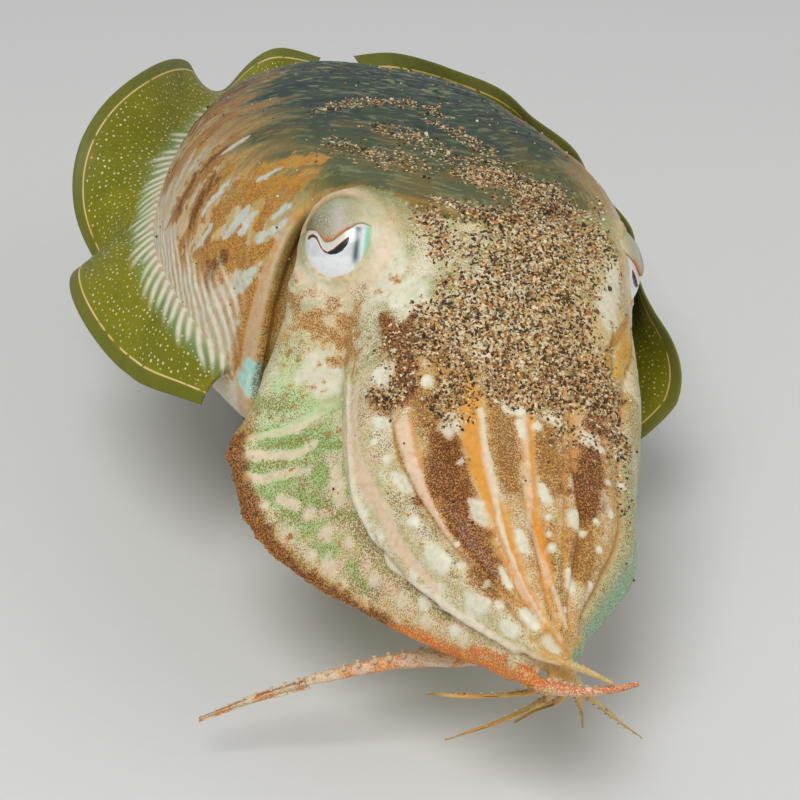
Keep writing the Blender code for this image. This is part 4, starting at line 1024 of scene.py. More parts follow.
def paintApron(p, points, on, side, drawn):
    y = points[:, 1]
    forward = -y
    far = edgeDistance(points, side)
    mottle, fine = cloud(points * (1, .55, 1), 4.0, 87 * side), cloud(points, 2.0, 84, 2)
    wave = np.sin((far * .5 + y * .75 + mottle * 1.8) * 2 * pi / 5.0)
    p.wash("mint", on * (.9 if side < 0 else .5))
    p.wash("cream", on * fade(20, 46, forward) * .85)
    p.wash("rosy", on * np.maximum(fade(-.1, .6, mottle) * .5, fade(.0, .8, wave) * .8))
    p.wash("leaf", on * fade(.1, .9, -wave) * fade(46, 24, forward) * .6)
    p.stipple("oliveDust", on, .54)
    p.stipple("oliveDust", on * fade(-.2, .6, -wave), .70)
    p.stipple("amber", on * fade(22, 44, forward), .60)
    p.wash("leaf", drawn["leaf"] * on * .6)
    p.stipple("oliveDust", drawn["leaf"] * on, .62)
    p.stipple("oliveDust", drawn["oliveDust"] * on, .74)
    p.wash("rosy", drawn["ripple"] * on * .85)
    p.clear(drawn["ripple"] * .5)
    rim = on * fade(3.0, 1.4, far + .8 * fine) * fade(2, 8, forward)
    p.wash("straw", on * fade(5.0, 2.5, far) * .5)
    p.wash("clay", rim * .6)
    p.stipple("umber", rim, .68)
    lobe = on * fade(5, 10, forward) * fade(42, 24, forward) * (side < 0)
    lobe = lobe * fade(5.5, 2.0, far + 1.2 * fine)
    p.wash("clay", lobe * .6)
    p.stipple("umber", lobe, .74)
    spots = np.maximum(drawn["rimSpots"] * fade(6.5, 4.5, far), rim * fade(.0, .4, cloud(points, 2.6, 95, 2)))
    p.wash("rust", spots * on * .8)
    p.wash("umber", spots * on * .3)
    p.stipple("darkBrown", spots * on, .72)
    p.wash("web", on * fade(.9, .5, far) * fade(2, 8, forward) * .8)
    ember = drawn["emberRim"] * on * (side < 0)
    p.wash("web", ember * .6)
    p.stipple("fire", ember, .78)
    end = on * fade(74, 78, forward) * (side < 0)
    p.wash("blush", end * .9)
    p.wash("peach", end * .5)


def paintHead(p, here, points, on, drawn):
    x, y, z = points.T
    p.wash("cream", on)
    p.wash("ivory", on * fade(-.2, .5, cloud(points, 9, 60)) * .6)
    p.wash("sage", on * fade(.05, .5, cloud(points, 6, 62)) * .6)
    nape = on * fade(-2, 10, y) * fade(2, 12, z)
    p.wash("moss", nape * (.75 + .2 * fade(-14, 0, x)))
    p.stipple("amber", on, .42)
    p.stipple("oliveDust", on * fade(-.3, .3, cloud(points, 4.5, 64)), .56)
    p.stipple("darkBrown", nape * .7, .52)
    p.wash("straw", on * fade(-4, 12, x) * fade(-2, 8, z) * .55)
    p.wash("clay", on * fade(8, 14, y) * fade(-22, -27, x) * .5)
    p.stipple("umber", on * fade(8, 14, y) * fade(-20, -26, x), .6)
    cheek = on * fade(-5, -13, z) * fade(-4, -14, x)
    p.wash("mint", cheek * .6)
    p.wash("ivory", cheek * fade(-.1, .5, cloud(points, 5, 66)) * .6)
    paintApron(p, points, on * (x < -8) * (here["theta"] < -88) * fade(-9, -14, z), -1, drawn)
    p.wash("belly", on * fade(-14, -20, z) * fade(20, 10, np.abs(x + 4)) * .8)
    p.wash("mint", drawn["mintWash"] * on * .5)
    p.wash("ivory", drawn["paleCheek"] * on * .75)
    p.clear(drawn["paleCheek"] * .6)
    p.wash("ivory", drawn["eyeCream"] * on * .7)
    p.clear(drawn["eyeCream"] * .7)
    p.wash("yellow", drawn["yellow"] * on * .8)
    p.wash("web", drawn["yellow"] * on * fade(.0, .5, cloud(points, 2.5, 99, 2)) * .6)
    p.wash("gold", drawn["goldFold"] * on * .9)
    p.stipple("umber", drawn["goldFold"] * on, .5)
    p.wash("oliveDust", drawn["oliveLines"] * on * .7)


def paintArm(p, here, points, on, arm, side, drawn):
    forward, z = -points[:, 1], points[:, 2]
    a, b = armShape["angles"][arm]
    q = np.clip((np.abs(here["theta"]) - (a + b) / 2) / ((b - a) / 2), -1.2, 1.2)
    mottle, fine = cloud(points * (1, .55, 1), 4.0, 83 + arm * side), cloud(points, 2.0, 80 + arm, 2)
    p.wash("cream", on)
    if arm < 3:
        p.wash("straw", on * .55)
        p.wash("ivory", on * fade(.0, .45, mottle) * .6)
        p.wash("clay", on * fade(-.2, .4, fine) * .5)
        p.stipple("amber", on, .60)
        p.stipple("umber", on * fade(.05, -.35, mottle), .66)
    elif arm == 3 and side < 0:
        p.wash("sage", on * .3)
        p.wash("ivory", on * fade(-.1, .5, mottle) * .6)
        p.wash("rosy", on * fade(.0, .5, -mottle) * .6)
        p.stipple("amber", on, .50)
        p.stipple("umber", on * fade(-.1, .4, fine) * fade(.4, -.6, q), .60)
    elif arm == 3:
        p.wash("sage", on * .6)
        p.wash("straw", on * fade(40, 20, forward) * .6)
        p.wash("ivory", on * fade(.1, .5, mottle) * .5)
        p.wash("turquoise", on * fade(34, 56, forward) * fade(-.7, .3, q) * .85)
        p.stipple("umber", on, .56)
    else:
        paintApron(p, points, on, side, drawn)
    if arm < 4:
        # crease between neighbours
        low = fade(.22, .0, 1 + q) * (arm != 3 or side > 0)
        crease = on * np.maximum(low, fade(.16, .0, 1 - q) * (arm < 3)) * fade(17, 26, forward)
        p.wash("web" if arm == 1 else "clay", crease * .9)
        p.clear(crease * .6)
    if isLeftFour(side, arm):
        tips = on * fade(-27, -32, z)
    else:
        hanging = fade(-25, -28, z) * (forward > (60 if arm < 3 else 66))
        tips = on * np.maximum(fade(71, 74, forward), hanging)
    if arm != 4 or side > 0:
        p.wash("straw" if arm < 4 else "blush", tips * .8)
        p.wash("web", tips * fade(-.2, .4, fine) * .5)
        p.stipple("umber", tips, .38)
        if arm == 4:
            p.stipple("fire", tips * fade(.1, .5, fine + .3), .6)
    p.wash("ivory", on * fade(.62, .52, here["core"]) * (forward < 68) * (forward > 21) * .8)


def paintSkin(ob, points, here, drawn):
    part = here["part"]
    x, y, z = points.T
    p = Paint(len(points), "cream")
    paintHead(p, here, points, (part == partHead) * 1.0, drawn)
    p.wash("belly", (part == partFunnel) * 1.0)
    for side in (1, -1):
        for k in (4, 3, 2, 1):
            paintArm(p, here, points, (part == armPart(side, k)) * 1.0, k, side, drawn)
    paintMantle(p, here, points, (part == partMantle) * 1.0, drawn)
    body = (part != partMantle) * 1.0
    upper = body * (part != armPart(1, 4))
    broken = drawn["rustCloud"] * body * fade(-.35, .15, cloud(points, 2.2, 98, 2))
    p.wash("clay", broken * .35)
    p.wash("web", broken * fade(-14, -20, x) * .3)
    p.wash("gold", broken * .4)
    p.stipple("umber", broken, .68)
    for name, wash, strength, ink, amount in (("brownBands", "gold", .7, "umber", .76),
                                              ("darkBands", "rust", .9, "darkBrown", .78)):
        p.wash(wash, drawn[name] * upper * strength)
        p.stipple(ink, drawn[name] * upper, amount)
    p.wash("blush", drawn["blush"] * upper * .85)
    p.clear(drawn["blush"] * .8)
    p.wash("web", drawn["web"] * upper * .95)
    p.wash("blush", drawn["web"] * upper * fade(24, 16, -y) * .6)
    p.clear(drawn["web"] * .85)
    p.wash("clay", drawn["redLine"] * upper * .8)
    p.wash("blush", drawn["paleLine"] * body * .75)
    p.wash("ivory", drawn["paleLine"] * body * fade(-2, -14, x) * .7)
    p.clear(drawn["paleLine"] * .8)
    for name in ("white", "bigWhite"):
        p.wash("ivory", drawn[name] * upper * .9)
        p.clear(drawn[name] * .85)
    sand = np.clip(drawn["sand"] * .72 + drawn["sandThin"] * .3 + .012, 0, 1) * (y > -62)
    sand *= fade(-24, -20, z)
    # pink fold round the eyes
    for side in (1, -1):
        look, across, up = eyeFrame(side)
        rel = points - np.array(eyeShape["at"][side])
        u, v = openingPlace(side, rel @ across, rel @ up)
        ring, front, back = np.hypot(u, v), (rel @ look > 0) * body, u * side
        fold = front * bell(1.05, .12, ring)
        p.wash("ivory", front * bell(1.25, .3, ring) * fade(.6, -.2, v) * .4)
        p.wash("sage", front * bell(1.3, .35, ring) * fade(.1, 1.0, v) * .7)
        p.wash("blush", fold * (.25 + .5 * fade(-.2, .6, back)))
        p.wash("peach", fold * fade(.1, .9, back + .5 * v) * .8)
        p.wash("peach", front * bell(1.22, .16, ring) * fade(.3, 1.0, -back) * .5)
        p.wash("clay", front * bell(1.30, .05, ring) * fade(.1, .9, back) * .7)
        p.clear(front * fade(1.22, 1.0, ring) * .85)
        sand *= 1 - front * fade(1.6, 1.2, ring)
    writeColour(ob.data, "tint", p.tint)
    writeColour(ob.data, "ink", p.ink)
    writeValue(ob.data, "inkAmount", p.amount)
    writeValue(ob.data, "sand", sand)
    return sand


def shapeSkin(ob):
    points = fromRow(readPoints(ob.data, "co"))
    here = surfacePlaces(points)
    points = openLids(points, here["part"] == partHead)
    marker = Marker(points)
    wobble = cloud(points, 1.7, 90, 2)
    wobble += cloud(points, .8, 92, 2) * .5
    drawn = {name: marker.mask(name, wobble) for name in marks}
    setCorners(ob.data, toRow(points))
    normals = unbank(readPoints(ob.data, "normal"))
    y = points[:, 1]
    high = cloud(points, 5.0, 40) * .16 + cloud(points, 1.9, 44, 2) * .09 - .18
    high += cloud(points * (.35, 1, .35), 1.9, 47, 2) * .15 * fade(8, 20, y)
    outer = here["part"] != partMantle
    for name, lift in markLook["relief"].items():
        high += drawn[name] * lift * outer
    # deeper creases between the arms
    turn = np.abs(here["theta"])
    crease = sum(bell(edge, width, turn) for edge, width in ((0, 2.2), (24, 2.2), (54, 2.0), (97, 1.6)))
    high -= crease * .7 * fade(-18, -26, y) * outer * (here["core"] > .62)
    thin = fade(-68, -71, y)
    setCorners(ob.data, toRow(points + normals * (high * (1 - thin))[:, None]))
    return points, here, drawn


points, here, drawn = shapeSkin(skin)
print("skin shaped")
sandiness = paintSkin(skin, points, here, drawn)
print("skin painted")


# Materials
class Nodes:
    # one material and short names for the nodes it needs
    def __init__(self, name):
        self.material = bpy.data.materials.new(name)
        self.material.use_nodes = True
        self.tree = self.material.node_tree
        self.shader = self.tree.nodes["Principled BSDF"]

    def add(self, kind, **settings):
        node = self.tree.nodes.new(kind)
        for key, value in settings.items():
            setattr(node, key, value)
        return node

    def link(self, source, target):
        self.tree.links.new(source, target)

    def feed(self, socket, value):
        if isinstance(value, (int, float)):
            socket.default_value = value
        elif isinstance(value, tuple):
            socket.default_value = (*value, 1)
        else:
            self.link(value, socket)

    def place(self):
        return self.add("ShaderNodeTexCoord").outputs["Object"]

    def value(self, name, output="Fac"):
        return self.add("ShaderNodeAttribute", attribute_name=name).outputs[output]

    def colour(self, name):
        return self.value(name, "Color")

    def math(self, how, a, b=None, clamp=False):
        node = self.add("ShaderNodeMath", operation=how, use_clamp=clamp)
        self.feed(node.inputs[0], a)
        if b is not None:
            self.feed(node.inputs[1], b)
        return node.outputs[0]

    def mix(self, amount, a, b, how="MIX"):
        node = self.add("ShaderNodeMix", data_type="RGBA", blend_type=how)
        for i, v in ((0, amount), (6, a), (7, b)):
            self.feed(node.inputs[i], v)
        return node.outputs[2]

    def grey(self, value):
        node = self.add("ShaderNodeCombineColor")
        for i in range(3):
            self.link(value, node.inputs[i])
        return node.outputs[0]

    def cells(self, where, scale, flat=False):
        node = self.add("ShaderNodeTexVoronoi", voronoi_dimensions="2D" if flat else "3D")
        node.inputs["Scale"].default_value = scale
        self.link(where, node.inputs["Vector"])
        return node

    def noise(self, where, scale, detail=3.0):
        node = self.add("ShaderNodeTexNoise")
        node.inputs["Scale"].default_value = scale
        node.inputs["Detail"].default_value = detail
        self.link(where, node.inputs["Vector"])
        return node.outputs["Fac"]

    def dots(self, distance, size, sharp=9.0):
        return self.math("MULTIPLY", self.math("SUBTRACT", size, distance), sharp, clamp=True)

    def above(self, value, level, sharp):
        return self.math("MULTIPLY", self.math("SUBTRACT", value, level), sharp, clamp=True)

    def split(self, colour):
        node = self.add("ShaderNodeSeparateColor")
        self.link(colour, node.inputs[0])
        return node.outputs

    def bump(self, height, distance, strength=1.0):
        node = self.add("ShaderNodeBump")
        node.inputs["Distance"].default_value = distance
        node.inputs["Strength"].default_value = strength
        self.link(height, node.inputs["Height"])
        self.link(node.outputs[0], self.shader.inputs["Normal"])

    def shade(self, colour, rough, coat=0.0, coatRough=.15, under=0.0, depth=.001):
        self.feed(self.shader.inputs["Base Color"], colour)
        self.feed(self.shader.inputs["Roughness"], rough)
        for name, value in (("Coat Weight", coat), ("Coat Roughness", coatRough), ("Subsurface Weight", under),
                            ("Subsurface Scale", depth)):
            self.shader.inputs[name].default_value = value


skinLook = {"dots": 2900.0, "fineDots": 4600.0, "grains": 2300.0, "roughness": .48, "wetCoat": .10}
grainTones = ((0, (.070, .035, .014)), (.26, (.26, .13, .045)), (.46, (.56, .37, .16)), (.70, (.80, .66, .40)),
              (.93, (.66, .28, .06)))


def skinFinish():
    n = Nodes("cuttlefishSkin")
    place = n.place()
    amount, sand = n.value("inkAmount"), n.value("sand")
    # pigment spots in two sizes
    big = n.dots(n.cells(place, skinLook["dots"]).outputs["Distance"], n.math("MULTIPLY", amount, .74))
    fine = n.dots(n.cells(place, skinLook["fineDots"]).outputs["Distance"], n.math("MULTIPLY", amount, .66))
    spots = n.math("MAXIMUM", big, fine)
    # uneven ground between them
    soft = n.noise(place, 900.0)
    colour = n.mix(n.above(soft, .50, 3.0), n.colour("tint"), (1.16, 1.15, 1.12), "MULTIPLY")
    colour = n.mix(n.above(n.math("SUBTRACT", 1.0, soft), .52, 3.0), colour, (.80, .76, .68), "MULTIPLY")
    colour = n.mix(n.math("MULTIPLY", spots, .9), colour, n.colour("ink"))
    # dust of sand
    specks = n.cells(place, skinLook["grains"])
    parts = n.split(specks.outputs["Color"])
    kept = n.above(sand, parts[0], 30.0)
    tone = n.add("ShaderNodeValToRGB")
    ramp = tone.color_ramp
    ramp.interpolation = "CONSTANT"
    for i, (at, rgb) in enumerate(grainTones):
        step = ramp.elements[i] if i < 2 else ramp.elements.new(at)
        step.position, step.color = at, (*rgb, 1)
    n.link(parts[1], tone.inputs[0])
    colour = n.mix(kept, colour, tone.outputs[0])
    rough = n.add("ShaderNodeMapRange")
    rough.inputs["To Min"].default_value = skinLook["roughness"]
    rough.inputs["To Max"].default_value = .9
    n.link(kept, rough.inputs["Value"])
    n.shade(colour, rough.outputs[0], skinLook["wetCoat"], .28, .08, .0015)
    n.shader.inputs["Specular IOR Level"].default_value = .32
    height = n.math("ADD", n.math("MULTIPLY", kept, .9), n.math("MULTIPLY", soft, .8))
    n.bump(n.math("SUBTRACT", height, n.math("MULTIPLY", spots, .15)), .00015, .7)
    return n.material


finLook = {"dotScale": .78, "dotSize": .185, "linePlace": 2.5, "lineHalf": .22}


def finFinish():
    n = Nodes("finSkin")
    spot, edge = n.value("finPlace", "Vector"), n.value("edgeMm")
    pattern = n.cells(spot, finLook["dotScale"], flat=True)
    pattern.inputs["Randomness"].default_value = .74
    uneven = n.math("ADD", n.split(pattern.outputs["Color"])[0], .6)
    size = n.math("MULTIPLY", uneven, finLook["dotSize"] * .72)
    mask = n.math("MULTIPLY", n.dots(pattern.outputs["Distance"], size, 16.0), n.value("finDots"))
    patchy = n.noise(spot, .28, 2.0)
    colour = n.mix(n.above(patchy, .48, 2.2), n.colour("tint"), (.72, .78, .7), "MULTIPLY")
    colour = n.mix(mask, colour, (.80, .74, .38))
    # thin broken line just inside the free edge
    off = n.math("ABSOLUTE", n.math("SUBTRACT", edge, finLook["linePlace"]))
    line = n.math("MULTIPLY", n.math("SUBTRACT", finLook["lineHalf"], off), 9.0, clamp=True)
    stitched = n.math("MULTIPLY", line, n.above(n.noise(spot, .42, 1.0), .34, 14.0))
    shade = n.mix(n.noise(spot, .2, 1.0), (.80, .44, .10), (.88, .80, .44))
    colour = n.mix(n.math("MULTIPLY", stitched, .9), colour, shade)
    n.shade(colour, .45, .05, .3, .12, .0012)
    n.shader.inputs["Specular IOR Level"].default_value = .25
    n.link(n.math("MAXIMUM", n.value("sheer"), stitched), n.shader.inputs["Alpha"])
    n.bump(n.math("ADD", mask, n.noise(spot, 1.1)), .00010, .6)
    return n.material


skinStuff, finStuff = skinFinish(), finFinish()
skin.data.materials.append(skinStuff)


# Fins: one sheet on each side, its root sunk into the mantle
def closedSheet(top, under):
    # quads over both faces of a sheet and round its rim
    r, c = top.shape[:2]
    i, j = np.meshgrid(np.arange(r - 1), np.arange(c - 1), indexing="ij")
    a = (i * c + j).ravel()
    quads = np.stack([a, a + 1, a + c + 1, a + c], 1)
    low = r * c
    faces = quads.tolist() + (quads[:, ::-1] + low).tolist()
    rim = ([(0, n) for n in range(c)] + [(n, c - 1) for n in range(1, r)]
           + [(r - 1, n) for n in range(c - 2, -1, -1)] + [(n, 0) for n in range(r - 2, 0, -1)])
    for (i, j), (k, n) in zip(rim, rim[1:] + rim[:1]):
        faces.append((i * c + j, i * c + j + low, k * c + n + low, k * c + n))
    return np.concatenate([top.reshape(-1, 3), under.reshape(-1, 3)]), faces


def buildFin(side):
    columns = finShape["columns"] // 1
    t, steps, grid, lift, wide = finGrid(side, columns, finShape["rows"])
    across, along = np.gradient(grid, axis=0), np.gradient(grid, axis=1)
    normal = unit(np.cross(across, along), 2)
    normal *= np.sign((normal * lift[None]).sum(2).mean())
    root, edge = finShape["thick"]
    thick = (edge + (root - edge) * (1 - steps) ** 2) * np.where(steps > .985, .45, 1)
    half = thick[:, None, None] / 2
    # a row sunk into the body carries the sheet's root
    inward = grid[0] - unit(grid[1] - grid[0], 1) * finShape["sunk"]
    top, under = (np.concatenate([(inward + normal[0] * half[0] * sign)[None], grid + normal * half * sign])
                  for sign in (1, -1))
    r, c = top.shape[:2]
    verts, faces = closedSheet(top, under)
    mesh = meshOf("fin", toRow(verts), faces)
    # where each point lies on the sheet
    length = np.concatenate([[0], np.cumsum(np.linalg.norm(np.diff(grid[0], axis=0), axis=1))])
    v = np.concatenate([[-.1], steps])
    down = np.tile((v[:, None] * wide[None, :]).ravel(), 2)
    alongMm = np.tile(np.broadcast_to(length, (r, c)).ravel(), 2)
    edgeMm = np.tile(((1 - v)[:, None] * wide[None, :]).ravel(), 2)
    count = len(verts)
    flat = np.stack([alongMm, down, np.full(count, side * 30.0)], 1)
    p = Paint(count, "olive")
    p.wash("oliveDark", fade(-.3, .6, cloud(flat, 12, 5)) * .6)
    p.wash("oliveDark", fade(2.6, 1.8, edgeMm) * .8)
    # the mantle's pale rays run out on to the sheet
    behind = np.tile(np.broadcast_to(t * rayLook["span"], (r, c)).ravel(), 2)
    phase, rays = finRays(behind, down, np.full(count, side))
    reach = 4.6 + 2.2 * lump(np.stack([phase, np.zeros(count), np.zeros(count)], 1), 2.3, 52)
    p.wash("turquoise", (1 - fade(1, 6, down)) * .35)
    p.wash("pinkTan", (1 - fade(0, 2.5, down)) * .7)
    p.wash("ivory", rays * (1 - fade(reach * .5, reach, down)) * .92)
    writeColour(mesh, "tint", p.tint)
    writeVector(mesh, "finPlace", np.stack([alongMm + side * 300, down * .9, np.zeros(count)], 1))
    writeValue(mesh, "edgeMm", edgeMm)
    writeValue(mesh, "finDots", fade(1.6, 4.0, down) * fade(3.0, 3.6, edgeMm))
    sheer = .94 + .06 * (1 - fade(0, 8, down)) - .12 * fade(2.5, 1.9, edgeMm)
    writeValue(mesh, "sheer", np.clip(sheer, 0, 1))
    ob = objectOf("fin" + sideNames[side], mesh, skinStuff)
    mesh.materials.append(finStuff)
    mesh.polygons.foreach_set("material_index", [1] * len(mesh.polygons))
    return ob


fins = [buildFin(1), buildFin(-1)]
skin.data.materials.append(finStuff)
with bpy.context.temp_override(active_object=skin, selected_editable_objects=[skin] + fins):
    bpy.ops.object.join()
skin.data.name = "skin"
fleshNodes = [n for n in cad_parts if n.split("_")[0] in ("mantle", "head", "funnel", "arm", "fin")]
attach(skin, "root")
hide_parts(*fleshNodes)
print("fins joined to the skin:", len(skin.data.vertices), "points")


# Suckers: small pale cups in two rows down each arm
suckerLook = {"alongArm": 21, "alongEnd": 12, "size": (1.25, .95, .7), "sides": 12,
              # height and radius of the cup's outline, as parts of its size
              "outline": ((-1.0, .55), (-.1, .62), (.45, .95), (.72, 1.0), (.8, .88), (.62, .6), (.35, .3))}


def suckerCup(at, out, along, radius):
    side = unit(np.cross(out, along))
    along = np.cross(side, out)
    a = circle(suckerLook["sides"])
    rim = np.outer(np.cos(a), along) + np.outer(np.sin(a), side)
    return loft([at + out * d * radius + radius * k * rim for d, k in suckerLook["outline"]])


def innerPlace(side, k, y, offset):
    a, b = armShape["angles"][k]
    mid = (a + b) / 2 + offset * (b - a) * (.24 if k < 4 else .13)
    reach = armShape["inner"] * (.8 + .2 * fade(-70, -50, y))
    at = crownRing(y, mid * side, inner=float(reach))[0]
    cx, cz = smoothCurve(crownShape["rings"], -y)[0][:2]
    return at, unit(np.array([cx - at[0], 0, cz - at[2]]))


def buildSuckers():
    shapes = []
    size = suckerLook["size"]
    for (side, k), frames in armFrames.items():
        long = isLeftFour(side, k)
        small = .64 if k == 1 else .76
        for y in np.linspace(-24, -42 if long else -64, suckerLook["alongArm"]):
            r = (size[0] + (size[1] - size[0]) * fade(-24, -62, y)) * small
            for off in (-1, 1):
                at, out = innerPlace(side, k, y, off)
                shapes.append(suckerCup(at, out, np.array([0, -1.0, 0]), r))
        _, inward = innerPlace(side, k, armShape["leftFour" if long else "usual"]["stop"], 0)
        start = np.arctan2(inward[2], inward[0])
        rows = suckerLook["alongEnd"] + (8 if long else 0)
        first = len(frames) * .3
        for i in range(rows):
            at, u, v, ahead, r = frames[int(first + (len(frames) - 2 - first) * i / (rows - 1))]
            for off in (-.6, .6):
                out = u * cos(start + off) + v * sin(start + off)
                cup = min(size[2] * (1 - .5 * i / rows), r * .34)
                shapes.append(suckerCup(at + out * (r - cup * .35), out, ahead, cup))
    verts, faces, n = [], [], 0
    for v, f in shapes:
        verts.append(v)
        faces.extend([tuple(i + n for i in q) for q in f])
        n += len(v)
    mesh = meshOf("suckers", toRow(np.concatenate(verts)), faces)
    m = Nodes("suckerSkin")
    m.shade(m.mix(m.noise(m.place(), 700.0), (.80, .66, .45), (.62, .40, .22)), .4, under=.12)
    ob = objectOf("suckers", mesh, m.material)
    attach(ob, "root")


buildSuckers()
print("suckers placed")


# Eyes: the right one is laid out as the view shows it, the left one mirrors it
pupilTop = [(308.0, 239.0), (309, 235.9), (312.6, 234.4), (316.1, 236.4), (319.2, 243.3), (322.2, 249.4),
            (327.3, 252.6), (333.5, 249.4), (340.6, 243.3), (348.3, 237.5)]
pupilLow = [(348.8, 238.2), (347.2, 244.5), (341.8, 251.0), (335.5, 254.2), (329.0, 254.6), (323.0, 251.9),
            (319.4, 246.6), (316.2, 239.6), (314.1, 237.3), (311, 237.5), (308.6, 240.2)]
flapEdge = [(300, 231), (308, 229.5), (313, 229.6), (317.1, 231), (321.2, 237.1), (325.3, 241.4),
            (331.4, 240.8), (337.6, 236.8), (344.7, 231), (351.8, 227), (358, 223.5), (365, 223.5), (373, 228)]


def insideOutline(x, y, outline):
    hit = np.zeros(len(x), bool)
    for (x0, y0), (x1, y1) in zip(outline, outline[1:] + outline[:1]):
        if y0 == y1:
            continue
        cross = (y0 > y) != (y1 > y)
        hit ^= cross & (x < (x1 - x0) * (y - y0) / (y1 - y0) + x0)
    return hit


def awayFrom(x, y, line):
    best = np.full(len(x), 1e9)
    for (x0, y0), (x1, y1) in zip(line[:-1], line[1:]):
        dx, dy = x1 - x0, y1 - y0
        t = np.clip(((x - x0) * dx + (y - y0) * dy) / (dx * dx + dy * dy), 0, 1)
        best = np.minimum(best, np.hypot(x - x0 - t * dx, y - y0 - t * dy))
    return best


def onRightEye(local):
    # local eye lengths (across, up, out) to the view's own x and y on the right eye
    look, across, up = eyeFrame(-1)
    x, y, _ = pixelOf(toRow(eyeShape["at"][-1] + local @ np.stack([across, up, look])))
    return x, y


def eyeFinish():
    n = Nodes("eyeGloss")
    flecks = n.math("MULTIPLY", n.math("SUBTRACT", n.noise(n.place(), 900.0), .5), 1.2, clamp=True)
    n.shade(n.mix(flecks, n.colour("tint"), (.45, .60, .62), "MULTIPLY"), .3, .55, .10)
    return n.material


eyeStuff = eyeFinish()


def buildEye(side):
    look, across, up = eyeFrame(side)
    radius = eyeShape["radius"] - .02
    front, (many, few) = eyeShape["front"], eyeShape["rings"]
    polar = np.concatenate([np.linspace(0, front, many)[1:], np.linspace(front, pi, few)[1:-1]])
    a = circle(eyeShape["around"])
    rings = [radius * np.stack([np.sin(b) * np.cos(a), np.sin(b) * np.sin(a), np.full_like(a, cos(b))], 1)
             for b in polar]
    local, faces = loft(rings, (0, 0, radius), (0, 0, -radius))
    x, y = onRightEye(local * (-side, 1, 1))
    tint = np.tile((.78, .82, .82), (len(local), 1))
    tint += np.clip(.08 * lump(local, 1.6, 5), -.1, .1)[:, None]
    ring = np.hypot(*openingPlace(side, local[:, 0], local[:, 1]))
    tilted = x + (y - 245) * .10
    seen = 1.0 if side < 0 else .2
    hollow = insideOutline(x, y, pupilTop + pupilLow)
    toPupil = awayFrom(x, y, pupilTop)
    # white, shade at the rim, dark band, pale line, green and gold, then the flap's shade and the pupil
    for colour, mask in (
            ((.95, .96, .97), fade(254, 259, y) * (x < 354) * .9),
            ((.50, .60, .50), fade(.80, .98, ring) * fade(352, 338, x) * .75),
            ((.07, .12, .11), seen * bell(356.5, 3.4, tilted) * fade(222, 230, y) * fade(268, 256, y) * .97),
            ((.88, .90, .86), bell(362.5, 1.2, tilted) * fade(222, 230, y)),
            ((.30, .70, .48), seen * bell(367, 3.0, tilted) * fade(218, 226, y) * fade(270, 256, y)),
            ((.66, .60, .16), fade(369.5, 373, tilted) * .8),
            ((.78, .74, .62), insideOutline(x, y, pupilTop + [(352, 226)] + flapEdge[::-1])),
            ((.90, .84, .76), (np.abs(toPupil - 1.7) < .6) * ~hollow),
            ((.50, .10, .03), (toPupil < .7) * ~hollow),
            ((.004, .006, .008), hollow),
            ((.006, .045, .055), hollow * bell(341, 5, x) * fade(247, 252, y) * .7)):
        lay(tint, colour, np.clip(mask, 0, 1))
    verts = local.copy()
    verts[hollow] *= 1 - eyeShape["pupilDepth"] / radius
    mesh = meshOf("eye", toRow(eyeShape["at"][side] + verts @ np.stack([across, up, look])), faces)
    writeColour(mesh, "tint", tint)
    ob = objectOf("eye" + sideNames[side], mesh, eyeStuff)
    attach(ob, "root")
    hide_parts("eye_left" if side > 0 else "eye_right")


flapLook = {"lift": .16, "thick": .42, "columns": 110, "rows": 46}


def flapFinish():
    n = Nodes("eyeFlapSkin")
    place = n.place()
    amount = n.math("MULTIPLY", n.value("inkAmount"), .62)
    mask = n.dots(n.cells(place, 4200.0).outputs["Distance"], amount)
    n.shade(n.mix(mask, n.colour("tint"), (.17, .09, .03)), .5, coat=.1)
    n.bump(n.noise(place, 1200.0), .0001)
    return n.material


flapStuff = flapFinish()


